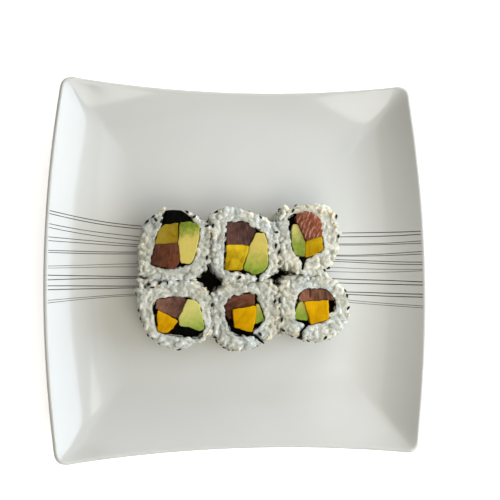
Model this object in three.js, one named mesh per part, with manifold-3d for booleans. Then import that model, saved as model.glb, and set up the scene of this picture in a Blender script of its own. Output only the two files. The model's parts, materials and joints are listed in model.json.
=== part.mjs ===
// A square porcelain plate with six pieces of inside-out maki standing on it, cut face up, in two rows
// of three. Each piece is a thick ring of rice with sesame round a sheet of nori, which holds a bar of
// tuna, one of mango and one of avocado. Millimetres, +Z up: X runs from side to side, Y from the near
// edge to the far edge, and the origin is the middle of the plate's foot, on the table.
import * as THREE from "three";
import { mergeVertices } from "three/addons/utils/BufferGeometryUtils.js";
import Module from "manifold-3d";

const wasm = await Module();
wasm.setup();

// Plate
const SIDE_REACH = 123.3; // centre to the middle of a side edge, measured at half the plate's thickness
const END_REACH = 117.3; // centre to the middle of the near or far edge
const CORNER = new THREE.Vector2(114.2, 122.2); // where a side edge would meet an end edge
const CORNER_CUT = 9; // how far back from that corner the rounding starts
const SIDE_RISE = 78; // where the floor starts to curve up towards a side
const END_RISE = 82; // and towards an end
const SIDE_LIFT = 18; // how far the side rim stands above the floor
const END_LIFT = 7; // the end rim, lower in its middle
const CORNER_LIFT = 19; // both rims at a corner
const RISE_POWER = 1.8; // a parabola would be 2
const CREASE = 6; // how sharply side and end meet along a corner's diagonal
const HALF_FLOOR = 2.4; // half the thickness of the floor
const HALF_RIM = 1.7; // half the thickness of the rim
const FOOT = 2.2; // height of the foot ring
const FOOT_BAND = [0.61, 0.565]; // the foot's outer and inner wall, as shares of the outline
const EDGE_STEPS = 4; // outline points on half an edge
const CORNER_STEPS = 3;

// Food
const GAP = 0.3; // between pieces that touch
const FLOOR_TOP = FOOT + 2 * HALF_FLOOR;
const SHEET = 0.7; // thickness of the nori
const SLACK = 0.2; // how much smaller each filling is than the space drawn for it
const FILLING_ROUND = 1.8; // rounding of a filling's long edges
const FOLD_DEPTH = 4.5; // how far folded nori lies below the cut face
const SHOULDER = 2.6; // rounding between the cut face and the outside of the rice
const BULGE = 0.5; // the rice is a little wider at half its height
const RICE_STEPS = 28; // points round a rice ring
const GRAIN = [3.1, 1.6, 1.5]; // half sizes of a cooked grain
const SEED = [1.6, 1, 0.6]; // half sizes of a sesame seed
const TOP_GRAINS = 12;
const SIDE_GRAINS = 6; // in each of the rows on the outside
const SIDE_ROWS = [0.3, 0.68]; // heights of those rows, as shares of a piece's height
const SEEDS = 8;
const SEED_HEIGHT = 0.86;
const NARROWEST_BAND = 5; // grains lie only where the ring is at least this wide

const COLOURS = {
  plate: 0xe4e4e0,
  rice: 0xdcded6,
  nori: 0x14160f,
  tuna: 0x7c4236,
  mango: 0xe0a213,
  avocado: 0xb4bf55,
};

// Where neighbouring pieces press against each other.
const UPPER_SPLITS = [-20, 23.8];
const LOWER_SPLITS = [-19.6, 23.3];
const ROW_SPLITS = [-9.5, -10.6, -6.4];
const OPEN = 100; // no neighbour on that side

// Each piece: its centre on the plate, its height, the rice's radius every 30 degrees from +X, the
// space that each filling takes in the cut face, corners where the nori stands clear of the fillings,
// and the route of its loose end through the rice, with that end's width.
const PIECES = [
  {
    centre: [-42.5, 12.7],
    height: 28,
    rice: [22.6, 24.7, 22.9, 22.9, 23.7, 23.6, 22.8, 26, 26.5, 22.4, 23.8, 23],
    tuna: [[-12.5, 0.5], [2, 1], [3, -3.5], [3, -11], [-0.5, -15], [-7.5, -14.5], [-15, -12]],
    mango: [[-7.5, 12.5], [2, 14], [2, 1], [-12.5, 0.5], [-10, 9.5]],
    avocado: [[3, 14], [10, 14.5], [15.5, 11.5], [15, 5.5], [12.5, -6], [10, -12], [3.5, -11.5], [2, 1]],
    clear: [[-7, 20.2], [4.5, 20.8], [7.5, 18.5]],
    proud: { tuna: 0.4, mango: 0.2, avocado: 0.9 },
  },
  {
    centre: [1.7, 13.7],
    height: 29,
    rice: [22.3, 23.4, 20.8, 21.4, 27.4, 25.2, 22, 25.7, 27.4, 24.2, 26.8, 24.8],
    tuna: [[-12, 13], [0, 13.5], [4.5, 10.5], [6.5, 7.5], [2.5, -1.5], [-5.5, -1], [-12, -1]],
    mango: [[-12, -1], [-5.5, -1], [2.5, -1.5], [-2, -16], [-3.5, -17], [-13.5, -17]],
    avocado: [[6.5, 6.5], [12, 6.5], [14, 0], [14, -15], [10.5, -19], [5.5, -20], [-1.5, -16.5], [2.5, -2]],
    clear: [],
    tail: { width: 2.6, route: [[6.5, -18], [7.5, -21], [6.8, -26]] },
    proud: { tuna: -0.3, mango: 0.5, avocado: 0.8 },
  },
  {
    centre: [43.6, 17.1],
    height: 29.5,
    rice: [19.7, 21.7, 24.4, 22.4, 22.8, 22.5, 19.5, 22.9, 24.3, 23.2, 23.4, 20.8],
    tuna: [[-9, 15.5], [-2, 17], [3.5, 14.5], [6.5, 10.5], [7, 1], [-3.5, -2], [-8, 8], [-10.5, 10.5]],
    mango: [[-3.5, -2], [7, 1], [8, -7.5], [-0.5, -12], [-4, -11.5]],
    avocado: [[-12.5, 8], [-10, 9], [-8, 8], [-3.5, -3], [-4, -12], [-10.5, -11], [-12.5, -4]],
    clear: [[-14.5, 13]],
    tail: { width: 1.6, route: [[-2.9, -10], [-4.3, -14.7], [-4.9, -16.6], [-6.3, -22.5]] },
    proud: { tuna: 1.6, mango: 0.3, avocado: 0 },
  },
  {
    centre: [-42.5, -30.7],
    height: 27.5,
    rice: [23.4, 24.5, 25.1, 20.9, 23.8, 26.8, 21.6, 20.7, 20.5, 21.9, 21.5, 24.2],
    tuna: [[-11.5, 9.5], [3, 11], [7.5, 9], [2, -3], [-10.5, 3], [-12, 3.5]],
    mango: [[-10.5, 3], [2, -4], [-2.5, -10], [-6.5, -11.5], [-10.5, -10], [-11, -2]],
    avocado: [[7.5, 9], [12, 9], [15, 6.5], [18.5, -8.5], [15, -11], [10, -8], [3, -7], [2, -3]],
    clear: [[-2, -12.5], [15.5, -15], [-13.5, 5.5]],
    proud: { tuna: 0, mango: 0.6, avocado: 1 },
  },
  {
    centre: [1.2, -32.2],
    height: 28,
    rice: [21.9, 24.1, 24.8, 21.2, 24.1, 24.5, 20.6, 22.5, 23.1, 21.7, 20.3, 22.7],
    tuna: [[-13.5, 6], [-10, 11], [-5.5, 13.5], [6.5, 14.5], [6, 6.5], [-8, 4], [-13, 3.5]],
    mango: [[-8, 4], [6, 6.5], [7.5, 2.5], [4.5, -9.5], [0.5, -9.5], [-7, -7]],
    avocado: [[6.5, 7.5], [9, 7.5], [12.5, -2.5], [6, -5], [7.5, 2.5]],
    clear: [[-9.5, -8.5], [-6.5, -11.5], [2, -12.5]],
    tail: { width: 1.2, route: [[1, -10.3], [4.4, -11.6], [8.1, -13.8], [12, -17.2]] },
    proud: { tuna: -0.4, mango: 1, avocado: -0.5 },
  },
  {
    centre: [46.5, -27.5],
    height: 28.5,
    rice: [22.6, 22.5, 22.4, 20.9, 23, 25.4, 22.5, 25.6, 21.1, 21.3, 22.3, 22.8],
    tuna: [[-11.5, 7.5], [-7.5, 12], [7, 11.5], [10, 7.5], [12.5, 4.5], [8, 5], [-8, 4], [-10.5, 4.5]],
    mango: [[-8, 4], [8, 5], [8, -7], [-4, -10.5], [-5, -5.5]],
    avocado: [[-10.5, 4.5], [-8, 4], [-5, -5.5], [-5.5, -8], [-14, -7], [-13.5, -2]],
    clear: [[12, -2]],
    tail: { width: 1.4, route: [[-4.5, -9.5], [-7.8, -12.6], [-10, -15], [-9.5, -20]] },
    proud: { tuna: 0.3, mango: 1.1, avocado: -0.2 },
  },
];

// Scraps of nori on the plate, in the gaps between four pieces: the middle and half width of each.
const SCRAPS = [
  { centre: [-20.2, -8.5], half: 10 },
  { centre: [25, -7], half: 12 },
];
const SCRAP_THICK = 0.8;
const SCRAP_CLEARANCE = 0.5;

// Helpers for solids

function toSolid(geometry) {
  const bare = geometry.clone();
  bare.deleteAttribute("normal");
  bare.deleteAttribute("uv");
  const merged = mergeVertices(bare, 1e-4);
  return new wasm.Manifold(
    new wasm.Mesh({
      numProp: 3,
      vertProperties: merged.attributes.position.array,
      triVerts: new Uint32Array(merged.index.array),
    }),
  );
}

function toMesh(solid, name, colour, finish = {}) {
  const { numProp, numVert, vertProperties, triVerts } = solid.getMesh();
  const positions = new Float32Array(numVert * 3);
  for (let i = 0; i < numVert; i++) {
    positions.set(vertProperties.subarray(i * numProp, i * numProp + 3), i * 3);
  }
  const geometry = new THREE.BufferGeometry();
  geometry.setAttribute("position", new THREE.BufferAttribute(positions, 3));
  geometry.setIndex(new THREE.BufferAttribute(triVerts, 1));
  geometry.computeVertexNormals();
  const material = new THREE.MeshStandardMaterial({ color: colour, roughness: 0.5, metalness: 0, ...finish });
  const mesh = new THREE.Mesh(geometry, material);
  mesh.name = name;
  return mesh;
}

// Cutting can leave loose scraps: only the largest body is kept.
function largestBody(solid) {
  return solid.decompose().reduce((best, body) => (body.volume() > best.volume() ? body : best));
}

// A closed surface through rings of points. The first and the last ring close on their middle.
function ringSurface(rings) {
  const count = rings[0].length;
  const middle = (ring) => ring.reduce((sum, p) => sum.add(p), new THREE.Vector3()).divideScalar(count);
  const points = [middle(rings[0]), ...rings.flat(), middle(rings.at(-1))];
  const last = points.length - 1;
  const at = (ring, i) => 1 + ring * count + (i % count);
  const index = [];
  for (let i = 0; i < count; i++) {
    index.push(0, at(0, i), at(0, i + 1));
    for (let k = 0; k < rings.length - 1; k++) {
      index.push(at(k, i), at(k + 1, i), at(k + 1, i + 1));
      index.push(at(k, i), at(k + 1, i + 1), at(k, i + 1));
    }
    index.push(last, at(rings.length - 1, i + 1), at(rings.length - 1, i));
  }
  const geometry = new THREE.BufferGeometry().setFromPoints(points);
  geometry.setIndex(index);
  return geometry;
}

function prism(shape, low, high) {
  const geometry = new THREE.ExtrudeGeometry(shape, { depth: high - low, curveSegments: 2, bevelEnabled: false });
  return toSolid(geometry.translate(0, 0, low));
}

// Helpers for outlines: lists of THREE.Vector2, turning left

const outline = (pairs) => {
  const points = pairs.map(([x, y]) => new THREE.Vector2(x, y));
  return THREE.ShapeUtils.area(points) < 0 ? points.reverse() : points;
};

// The outline moved outwards by a distance, or inwards if it is below zero.
function grown(points, distance) {
  const count = points.length;
  return points.map((p, i) => {
    const before = p.clone().sub(points[(i + count - 1) % count]).normalize();
    const after = points[(i + 1) % count].clone().sub(p).normalize();
    const out = new THREE.Vector2(before.y + after.y, -before.x - after.x).normalize();
    const lean = Math.max(0.5, out.x * after.y - out.y * after.x);
    return p.clone().addScaledVector(out, distance / lean);
  });
}

function convexHull(points) {
  const sorted = [...points].sort((a, b) => a.x - b.x || a.y - b.y);
  const chain = (list) => {
    const hull = [];
    for (const p of list) {
      while (hull.length > 1) {
        const [a, b] = hull.slice(-2);
        if ((b.x - a.x) * (p.y - a.y) - (b.y - a.y) * (p.x - a.x) > 0) break;
        hull.pop();
      }
      hull.push(p);
    }
    return hull.slice(0, -1);
  };
  return [...chain(sorted), ...chain(sorted.reverse())];
}

// A shape with each corner replaced by a curve that starts a given distance from it.
function rounded(points, radius) {
  const shape = new THREE.Shape();
  const count = points.length;
  points.forEach((p, i) => {
    const towards = (q) => p.clone().lerp(q, Math.min(0.45, radius / p.distanceTo(q)));
    const start = towards(points[(i + count - 1) % count]);
    const end = towards(points[(i + 1) % count]);
    if (i === 0) shape.moveTo(start.x, start.y);
    else shape.lineTo(start.x, start.y);
    shape.quadraticCurveTo(p.x, p.y, end.x, end.y);
  });
  shape.closePath();
  return shape;
}

// A band of a given width along a route, as an outline.
function band(route, width) {
  const points = route.map(([x, y]) => new THREE.Vector2(x, y));
  const side = (p, i, sign) => {
    const from = points[Math.max(0, i - 1)];
    const to = points[Math.min(points.length - 1, i + 1)];
    const along = to.clone().sub(from).normalize();
    return new THREE.Vector2(-along.y, along.x).multiplyScalar((sign * width) / 2).add(p);
  };
  const left = points.map((p, i) => side(p, i, 1));
  const right = points.map((p, i) => side(p, i, -1));
  return outline([...right, ...left.reverse()].map((p) => [p.x, p.y]));
}

// How far it is from the origin to the outline in a direction.
function reach(points, angle) {
  const ray = new THREE.Vector2(Math.cos(angle), Math.sin(angle));
  return points.reduce((far, a, i) => {
    const b = points[(i + 1) % points.length];
    const edge = b.clone().sub(a);
    const turn = ray.cross(edge);
    const distance = a.cross(edge) / turn;
    const share = a.cross(ray) / turn;
    return share >= 0 && share <= 1 && distance > far ? distance : far;
  }, 0);
}

// The same numbers on every run, from 0 to 1.
function randomNumbers(seed) {
  let state = seed;
  return () => {
    state = (state * 1664525 + 1013904223) % 4294967296;
    return state / 4294967296;
  };
}

// Plate

const square = (v) => v * v;

// One quarter of the outline, from the middle of a side edge to the middle of an end edge.
function quarterOutline() {
  const onSide = (y) => new THREE.Vector2(SIDE_REACH - (SIDE_REACH - CORNER.x) * square(y / CORNER.y), y);
  const onEnd = (x) => new THREE.Vector2(x, END_REACH + (CORNER.y - END_REACH) * square(x / CORNER.x));
  const sideEnd = CORNER.y - CORNER_CUT;
  const endStart = CORNER.x - CORNER_CUT;
  const corner = new THREE.QuadraticBezierCurve(onSide(sideEnd), CORNER, onEnd(endStart));
  const steps = Array.from({ length: EDGE_STEPS }, (_, i) => i / EDGE_STEPS);
  return [
    ...steps.map((s) => onSide(s * sideEnd)),
    ...corner.getPoints(CORNER_STEPS),
    ...steps.reverse().map((s) => onEnd(s * endStart)),
  ];
}

function plateOutline() {
  const quarter = quarterOutline();
  return [[1, 1], [-1, 1], [-1, -1], [1, -1]].flatMap(([x, y]) => {
    const part = quarter.map((p) => new THREE.Vector2(x * p.x, y * p.y));
    return (x === y ? part : part.reverse()).slice(0, -1);
  });
}

// How far the plate stands above its floor at a point.
function lift(x, y) {
  const sideEdge = SIDE_REACH - (SIDE_REACH - CORNER.x) * square(y / CORNER.y);
  const endEdge = END_REACH + (CORNER.y - END_REACH) * square(x / CORNER.x);
  const sideLift = SIDE_LIFT + (CORNER_LIFT - SIDE_LIFT) * square(y / CORNER.y);
  const endLift = END_LIFT + (CORNER_LIFT - END_LIFT) * square(x / CORNER.x);
  const rise = (from, to, at) => Math.max(0, (Math.abs(at) - from) / (to - from)) ** RISE_POWER;
  const side = sideLift * rise(SIDE_RISE, sideEdge, x);
  const end = endLift * rise(END_RISE, endEdge, y);
  return (side ** CREASE + end ** CREASE) ** (1 / CREASE);
}

// A point of the plate's skin. The share goes from 0 in the middle to 1 at the edge, and the turn from
// 90 degrees on the upper face, round the rim, to -90 on the lower face.
function skinPoint(edge, share, turn) {
  const x = edge.x * share;
  const y = edge.y * share;
  const step = 0.5;
  const slope = new THREE.Vector2(lift(x + step, y) - lift(x - step, y), lift(x, y + step) - lift(x, y - step));
  slope.divideScalar(2 * step);
  const normal = new THREE.Vector3(-slope.x, -slope.y, 1).normalize();
  const outwards = new THREE.Vector3(edge.x, edge.y, 0).normalize();
  outwards.addScaledVector(normal, -outwards.dot(normal)).normalize();
  const half = HALF_FLOOR + (HALF_RIM - HALF_FLOOR) * share ** 3;
  const angle = THREE.MathUtils.degToRad(turn);
  return new THREE.Vector3(x, y, FOOT + HALF_FLOOR + lift(x, y))
    .addScaledVector(outwards, half * Math.cos(angle))
    .addScaledVector(normal, half * Math.sin(angle));
}

function makePlate() {
  const edge = plateOutline();
  const skin = (share, turn) => edge.map((p) => skinPoint(p, share, turn));
  const flat = (share, z) => edge.map((p) => new THREE.Vector3(p.x * share, p.y * share, z));
  const [footOut, footIn] = FOOT_BAND;
  const rising = [0.62, 0.74, 0.84, 0.93, 1];
  const rings = [
    ...rising.map((share) => skin(share, 90)),
    skin(1, 30),
    skin(1, -30),
    ...rising.toReversed().map((share) => skin(share, -90)),
    flat(footOut, FOOT),
    flat(footOut - 0.005, 0),
    flat(footIn + 0.005, 0),
    flat(footIn, FOOT),
  ];
  return toMesh(toSolid(ringSurface(rings)), "plate", COLOURS.plate, { roughness: 0.12 });
}

// Fillings

const FILLINGS = ["tuna", "mango", "avocado"];

function makeFilling(piece, kind) {
  const shape = rounded(grown(outline(piece[kind]), -SLACK), FILLING_ROUND);
  return prism(shape, 0, piece.height + piece.proud[kind]);
}

// The outline round all the fillings, which the nori follows.
function fillingHull(piece) {
  const corners = [...FILLINGS.flatMap((kind) => piece[kind]), ...piece.clear];
  return convexHull(outline(corners));
}

// Nori

function makeNori(piece, cell) {
  const hull = fillingHull(piece);
  const inner = GAP - SLACK;
  const outer = rounded(grown(hull, inner + SHEET), FILLING_ROUND + SHEET);
  const height = piece.height;
  let nori = prism(outer, 0, height).subtract(prism(rounded(grown(hull, inner), FILLING_ROUND), -1, height + 1));
  let fold = prism(outer, 0, height - FOLD_DEPTH);
  for (const kind of FILLINGS) {
    fold = fold.subtract(prism(new THREE.Shape(grown(outline(piece[kind]), inner)), -1, height + 1));
  }
  nori = nori.add(fold);
  if (piece.tail) {
    const tail = prism(new THREE.Shape(band(piece.tail.route, piece.tail.width)), 0, height - 1);
    nori = nori.add(tail.subtract(prism(rounded(grown(hull, inner + SHEET / 2), FILLING_ROUND), -1, height + 1)));
  }
  return largestBody(nori.intersect(cell));
}

// Rice

function riceRadius(piece) {
  const knots = piece.rice.map((radius, i) => {
    const angle = (i * 2 * Math.PI) / piece.rice.length;
    return new THREE.Vector3(radius * Math.cos(angle), radius * Math.sin(angle), 0);
  });
  const curve = new THREE.CatmullRomCurve3(knots, true);
  const points = curve.getPoints(RICE_STEPS).slice(0, -1).map((p) => new THREE.Vector2(p.x, p.y));
  return (angle) => reach(points, angle);
}

function makeCore(piece, radiusAt) {
  const angles = Array.from({ length: RICE_STEPS }, (_, i) => (i * 2 * Math.PI) / RICE_STEPS);
  const ring = (inset, z) =>
    angles.map((angle) => {
      const radius = radiusAt(angle) - inset;
      return new THREE.Vector3(radius * Math.cos(angle), radius * Math.sin(angle), z);
    });
  const { height } = piece;
  const profile = [
    [SHOULDER, height],
    [SHOULDER * 0.3, height - SHOULDER * 0.3],
    [0, height - SHOULDER],
    [-BULGE, height / 2],
    [0, SHOULDER],
    [SHOULDER, 0],
  ];
  return toSolid(ringSurface(profile.map(([inset, z]) => ring(inset, z))));
}

// A small rounded body for a grain or a seed: half sizes, place, and turns about its own axes.
function morsel(sizes, place, turns) {
  const geometry = new THREE.IcosahedronGeometry(1, 0);
  const matrix = new THREE.Matrix4().compose(
    place,
    new THREE.Quaternion().setFromEuler(new THREE.Euler(...turns)),
    new THREE.Vector3(...sizes),
  );
  return toSolid(geometry.applyMatrix4(matrix));
}

function makeRice(piece, cell, seed) {
  const random = randomNumbers(seed);
  const radiusAt = riceRadius(piece);
  const hull = fillingHull(piece);
  const hole = grown(hull, GAP - SLACK + SHEET + GAP);
  const { height } = piece;
  let rice = makeCore(piece, radiusAt);
  const place = (angle, radius, z) => new THREE.Vector3(radius * Math.cos(angle), radius * Math.sin(angle), z);
  const spread = (count, row) =>
    Array.from({ length: count }, (_, i) => ((i + 0.5 * row + 0.4 * random()) * 2 * Math.PI) / count);
  const hasRice = (angle) => radiusAt(angle) - reach(hole, angle) > NARROWEST_BAND;

  for (const angle of spread(TOP_GRAINS, 0).filter(hasRice)) {
    const share = 0.35 + 0.3 * random();
    const radius = THREE.MathUtils.lerp(reach(hole, angle), radiusAt(angle), share);
    rice = rice.add(morsel(GRAIN, place(angle, radius, height - 0.5), [0, 0, Math.PI * random()]));
  }
  SIDE_ROWS.forEach((share, row) => {
    for (const angle of spread(SIDE_GRAINS, row).filter(hasRice)) {
      const lean = Math.PI * random();
      rice = rice.add(morsel([GRAIN[1], GRAIN[0], GRAIN[2]], place(angle, radiusAt(angle), share * height), [lean, 0, angle]));
    }
  });
  for (const angle of spread(SEEDS, 0.5).filter(hasRice)) {
    const lean = Math.PI * random();
    const drop = SEED_HEIGHT - 0.5 * random();
    rice = rice.add(morsel([SEED[2], SEED[0], SEED[1]], place(angle, radiusAt(angle) + 0.2, drop * height), [lean, 0, angle]));
  }

  const taller = height + 5;
  rice = rice.subtract(prism(rounded(hole, FILLING_ROUND + SHEET), -1, taller));
  if (piece.tail) {
    const slit = band(piece.tail.route, piece.tail.width + 2 * GAP);
    rice = rice.subtract(prism(new THREE.Shape(slit), -1, taller));
  }
  return largestBody(rice.intersect(cell));
}

// The space that a piece may fill, up to the planes where it presses against its neighbours.
function cellOf(piece, i) {
  const upper = i < 3;
  const column = i % 3;
  const splits = [-OPEN, ...(upper ? UPPER_SPLITS : LOWER_SPLITS), OPEN];
  const [x, y] = piece.centre;
  const low = [splits[column] - x + GAP / 2, (upper ? ROW_SPLITS[column] : -OPEN) - y + GAP / 2];
  const high = [splits[column + 1] - x - GAP / 2, (upper ? OPEN : ROW_SPLITS[column]) - y - GAP / 2];
  return prism(new THREE.Shape(outline([low, [high[0], low[1]], high, [low[0], high[1]]])), 0, OPEN);
}

function makePiece(piece, i) {
  const number = i + 1;
  const cell = cellOf(piece, i);
  const group = new THREE.Group();
  group.position.set(...piece.centre, FLOOR_TOP + GAP);
  group.add(toMesh(makeRice(piece, cell, 101 + 37 * i), `rice_${number}`, COLOURS.rice, { roughness: 0.35 }));
  group.add(toMesh(makeNori(piece, cell), `nori_${number}`, COLOURS.nori, { roughness: 0.55 }));
  for (const kind of FILLINGS) {
    group.add(toMesh(makeFilling(piece, kind), `${kind}_${number}`, COLOURS[kind], { roughness: 0.3 }));
  }
  return group;
}

function makeScrap({ centre, half }, i) {
  const [x, y] = centre;
  const corners = [[-half, -half], [half, -half], [half, half], [-half, half]];
  const low = FLOOR_TOP + GAP;
  let scrap = prism(new THREE.Shape(outline(corners)), low, low + SCRAP_THICK).translate([x, y, 0]);
  for (const piece of PIECES) {
    const radiusAt = riceRadius(piece);
    const foot = Array.from({ length: RICE_STEPS }, (_, k) => {
      const angle = (k * 2 * Math.PI) / RICE_STEPS;
      const radius = radiusAt(angle) + SCRAP_CLEARANCE;
      return new THREE.Vector2(radius * Math.cos(angle), radius * Math.sin(angle));
    });
    scrap = scrap.subtract(prism(new THREE.Shape(foot), 0, low + 5).translate([...piece.centre, 0]));
  }
  return toMesh(largestBody(scrap), `nori_scrap_${i + 1}`, COLOURS.nori, { roughness: 0.55 });
}

const platter = new THREE.Group();
platter.add(makePlate());
PIECES.forEach((piece, i) => platter.add(makePiece(piece, i)));
SCRAPS.forEach((scrap, i) => platter.add(makeScrap(scrap, i)));

export default platter;
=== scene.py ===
# %% [markdown]
# A plate of inside-out maki, seen from above.
#
# The solid model gives the form: a square plate, and six pieces that each hold rice, nori, tuna, mango
# and avocado. This lesson dresses that model. Every soft or fine thing is made again as a mesh with the
# detail of the real food, measured off the solid that it stands for, so the two never drift apart.

# %% Load the solid model
import json
import math
from itertools import product

import bpy
import numpy as np
from mathutils import Euler, Matrix, Vector, geometry, noise
from mathutils.bvhtree import BVHTree
from mathutils.kdtree import KDTree

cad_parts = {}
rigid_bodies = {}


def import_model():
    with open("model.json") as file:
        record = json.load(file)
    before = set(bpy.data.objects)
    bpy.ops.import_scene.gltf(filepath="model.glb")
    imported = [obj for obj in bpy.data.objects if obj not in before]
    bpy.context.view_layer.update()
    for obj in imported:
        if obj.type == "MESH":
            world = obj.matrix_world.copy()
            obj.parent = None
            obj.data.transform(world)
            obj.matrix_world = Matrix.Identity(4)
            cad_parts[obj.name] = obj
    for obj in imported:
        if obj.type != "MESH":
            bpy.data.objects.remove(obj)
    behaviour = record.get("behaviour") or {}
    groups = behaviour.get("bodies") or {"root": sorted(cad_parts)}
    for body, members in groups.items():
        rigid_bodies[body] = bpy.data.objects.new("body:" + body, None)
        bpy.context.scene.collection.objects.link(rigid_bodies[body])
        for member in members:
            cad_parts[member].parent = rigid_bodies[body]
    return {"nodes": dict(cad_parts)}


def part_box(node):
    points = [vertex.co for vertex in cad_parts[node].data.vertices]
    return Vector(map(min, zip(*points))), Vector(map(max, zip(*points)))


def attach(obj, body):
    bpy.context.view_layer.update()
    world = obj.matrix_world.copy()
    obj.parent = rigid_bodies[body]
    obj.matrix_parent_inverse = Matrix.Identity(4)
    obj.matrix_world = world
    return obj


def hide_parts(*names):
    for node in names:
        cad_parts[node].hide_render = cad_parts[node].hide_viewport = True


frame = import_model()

MM = 0.001
PIECES = range(1, 7)
FILLINGS = ("tuna", "mango", "avocado")
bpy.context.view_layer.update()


def new_object(name, data):
    """An object that is in the scene."""
    thing = bpy.data.objects.new(name, data)
    bpy.context.scene.collection.objects.link(thing)
    return thing


# %% [markdown]
# The camera comes first, because a few small things are placed by where they show in the photograph. It
# looks almost straight down from about 40 cm. Its place was worked out from the outline of the plate,
# whose bowed edges lean outwards by different amounts in the picture. A helper turns a spot of the
# 500 x 500 picture into a ray from the camera, and what the ray hits is where the small thing lies.

# %% Set up the camera
PICTURE = 500
SENSOR = 36.0
LENS = 43.456
CAMERA_PLACE = Vector((-35.5, -19.4, 414.0)) * MM
CAMERA_TURN = Euler([math.radians(a) for a in (4.373, -6.011, -0.422)])

camera_data = bpy.data.cameras.new("overhead")
camera_data.lens = LENS
camera_data.sensor_width = SENSOR
camera_data.clip_start = 10 * MM
camera = new_object("overhead", camera_data)
camera.location = CAMERA_PLACE
camera.rotation_euler = CAMERA_TURN
bpy.context.scene.camera = camera


def sight_line(x, y):
    """The direction in which the camera sees a spot of the picture."""
    across = (x - PICTURE / 2) / PICTURE * SENSOR / LENS
    up = (PICTURE / 2 - y) / PICTURE * SENSOR / LENS
    return (CAMERA_TURN.to_matrix() @ Vector((across, up, -1))).normalized()


print("camera looks along", [round(v, 3) for v in sight_line(PICTURE / 2, PICTURE / 2)])

# %% [markdown]
# Every piece in this lesson goes the same way: corners and faces from numpy become a mesh, the mesh gets
# a material, the piece is tied to the body it rides on, and the solid that it stands for is hidden. One
# helper does that, so no piece can miss a step. A second helper wraps a surface round a stack of rings,
# which suits both the plate and a small seed. Two more turn rows of numbers into directions.

# %% Helpers for pieces
def new_mesh(name, corners, faces):
    mesh = bpy.data.meshes.new(name)
    mesh.from_pydata(np.asarray(corners).tolist(), [], [tuple(face) for face in faces])
    return mesh


def make_piece(name, corners, faces, material, slot, nodes):
    """A smooth mesh piece that rides on the part and stands for some of its solids."""
    mesh = new_mesh(name, corners, faces)
    mesh.validate()
    finish_piece(name, mesh, material, nodes)


def finish_piece(name, mesh, material, nodes):
    mesh.polygons.foreach_set("use_smooth", [True] * len(mesh.polygons))
    mesh.materials.clear()
    mesh.materials.append(material)
    piece = new_object(name, mesh)
    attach(piece, "root")
    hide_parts(*nodes)


def round_trip(count):
    """Pairs of neighbours in a ring of points."""
    here = np.arange(count)
    return list(zip(here, (here + 1) % count))


def strip(low, high, count):
    """Faces between two rings, whose points are numbered from low and from high."""
    return [(low + i, high + i, high + j, low + j) for i, j in round_trip(count)]


def wrap_rings(rings):
    """Corners and faces of a surface through rings of equal length, closed on its two ends."""
    count = len(rings[0])
    corners = np.vstack([rings[0].mean(0), *rings, rings[-1].mean(0)])
    faces = [(0, 1 + i, 1 + j) for i, j in round_trip(count)]
    for low in range(1, 1 + (len(rings) - 1) * count, count):
        faces += strip(low, low + count, count)
    last = len(corners) - 1
    faces += [(last, last - count + j, last - count + i) for i, j in round_trip(count)]
    return corners, faces


def joined(shapes):
    """Several shapes as one list of corners and faces."""
    corners, faces, start = [], [], 0
    for part_corners, part_faces in shapes:
        corners.append(part_corners)
        faces += [tuple(int(start + i) for i in face) for face in part_faces]
        start += len(part_corners)
    return np.vstack(corners), faces


def unit(rows):
    """Each row as a direction of length one."""
    return rows / np.linalg.norm(rows, axis=1)[:, None]


def along_surface(ways, normals):
    """Each direction, turned until it is at right angles to its normal."""
    return unit(ways - (ways * normals).sum(1)[:, None] * normals)


# %% [markdown]
# The plate is a square of glazed porcelain. Its left and right edges bow outwards and the other two bow
# inwards, and from a flat floor each rim curves up, which leaves a soft crease towards every corner. A
# subdivided box could be pushed into that form by hand, but a formula keeps it exact: the outline is
# scaled in towards the middle in many rings, and each ring is lifted by how far it is up the rim. The
# same rings run round the lip and back underneath to a plain foot ring.

# %% Shape the plate
SIDE_REACH = 123.3 * MM
END_REACH = 117.3 * MM
CORNER = np.array([114.2, 122.2]) * MM
CORNER_CUT = 9 * MM
SIDE_RISE, END_RISE = 71 * MM, 71 * MM
SIDE_LIFT, END_LIFT, CORNER_LIFT = 18 * MM, 7 * MM, 19 * MM
RISE_POWER = 2.2
CREASE = 5
HALF_FLOOR, HALF_RIM = 2.4 * MM, 1.7 * MM
FOOT = 2.2 * MM
FOOT_OUT, FOOT_IN = 0.61, 0.565
FOOT_ROUND = 0.004
EDGE_STEPS, CORNER_STEPS = 26, 10
SLOPE_STEP = 0.5 * MM
# Each ring is the outline scaled by a share: fine steps on the rim, wide ones on the floor.
TOP_SHARES = (*np.linspace(0.04, 0.58, 7), *np.linspace(0.61, 1, 28))
UNDER_SHARES = np.linspace(1, 0.62, 22)
LIP_TURNS = range(75, -90, -15)
# The foot ring in section, as shares of the outline and of its own height.
FOOT_SECTION = (
    (FOOT_OUT + FOOT_ROUND, 1), (FOOT_OUT, 0.8), (FOOT_OUT - FOOT_ROUND, 0.15),
    (FOOT_OUT - 2 * FOOT_ROUND, 0), (FOOT_IN + 2 * FOOT_ROUND, 0),
    (FOOT_IN + FOOT_ROUND, 0.15), (FOOT_IN, 0.8), (FOOT_IN - FOOT_ROUND, 1), (0.3, 1),
)


def side_edge(y):
    return SIDE_REACH - (SIDE_REACH - CORNER[0]) * (y / CORNER[1]) ** 2


def end_edge(x):
    return END_REACH + (CORNER[1] - END_REACH) * (x / CORNER[0]) ** 2


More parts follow.
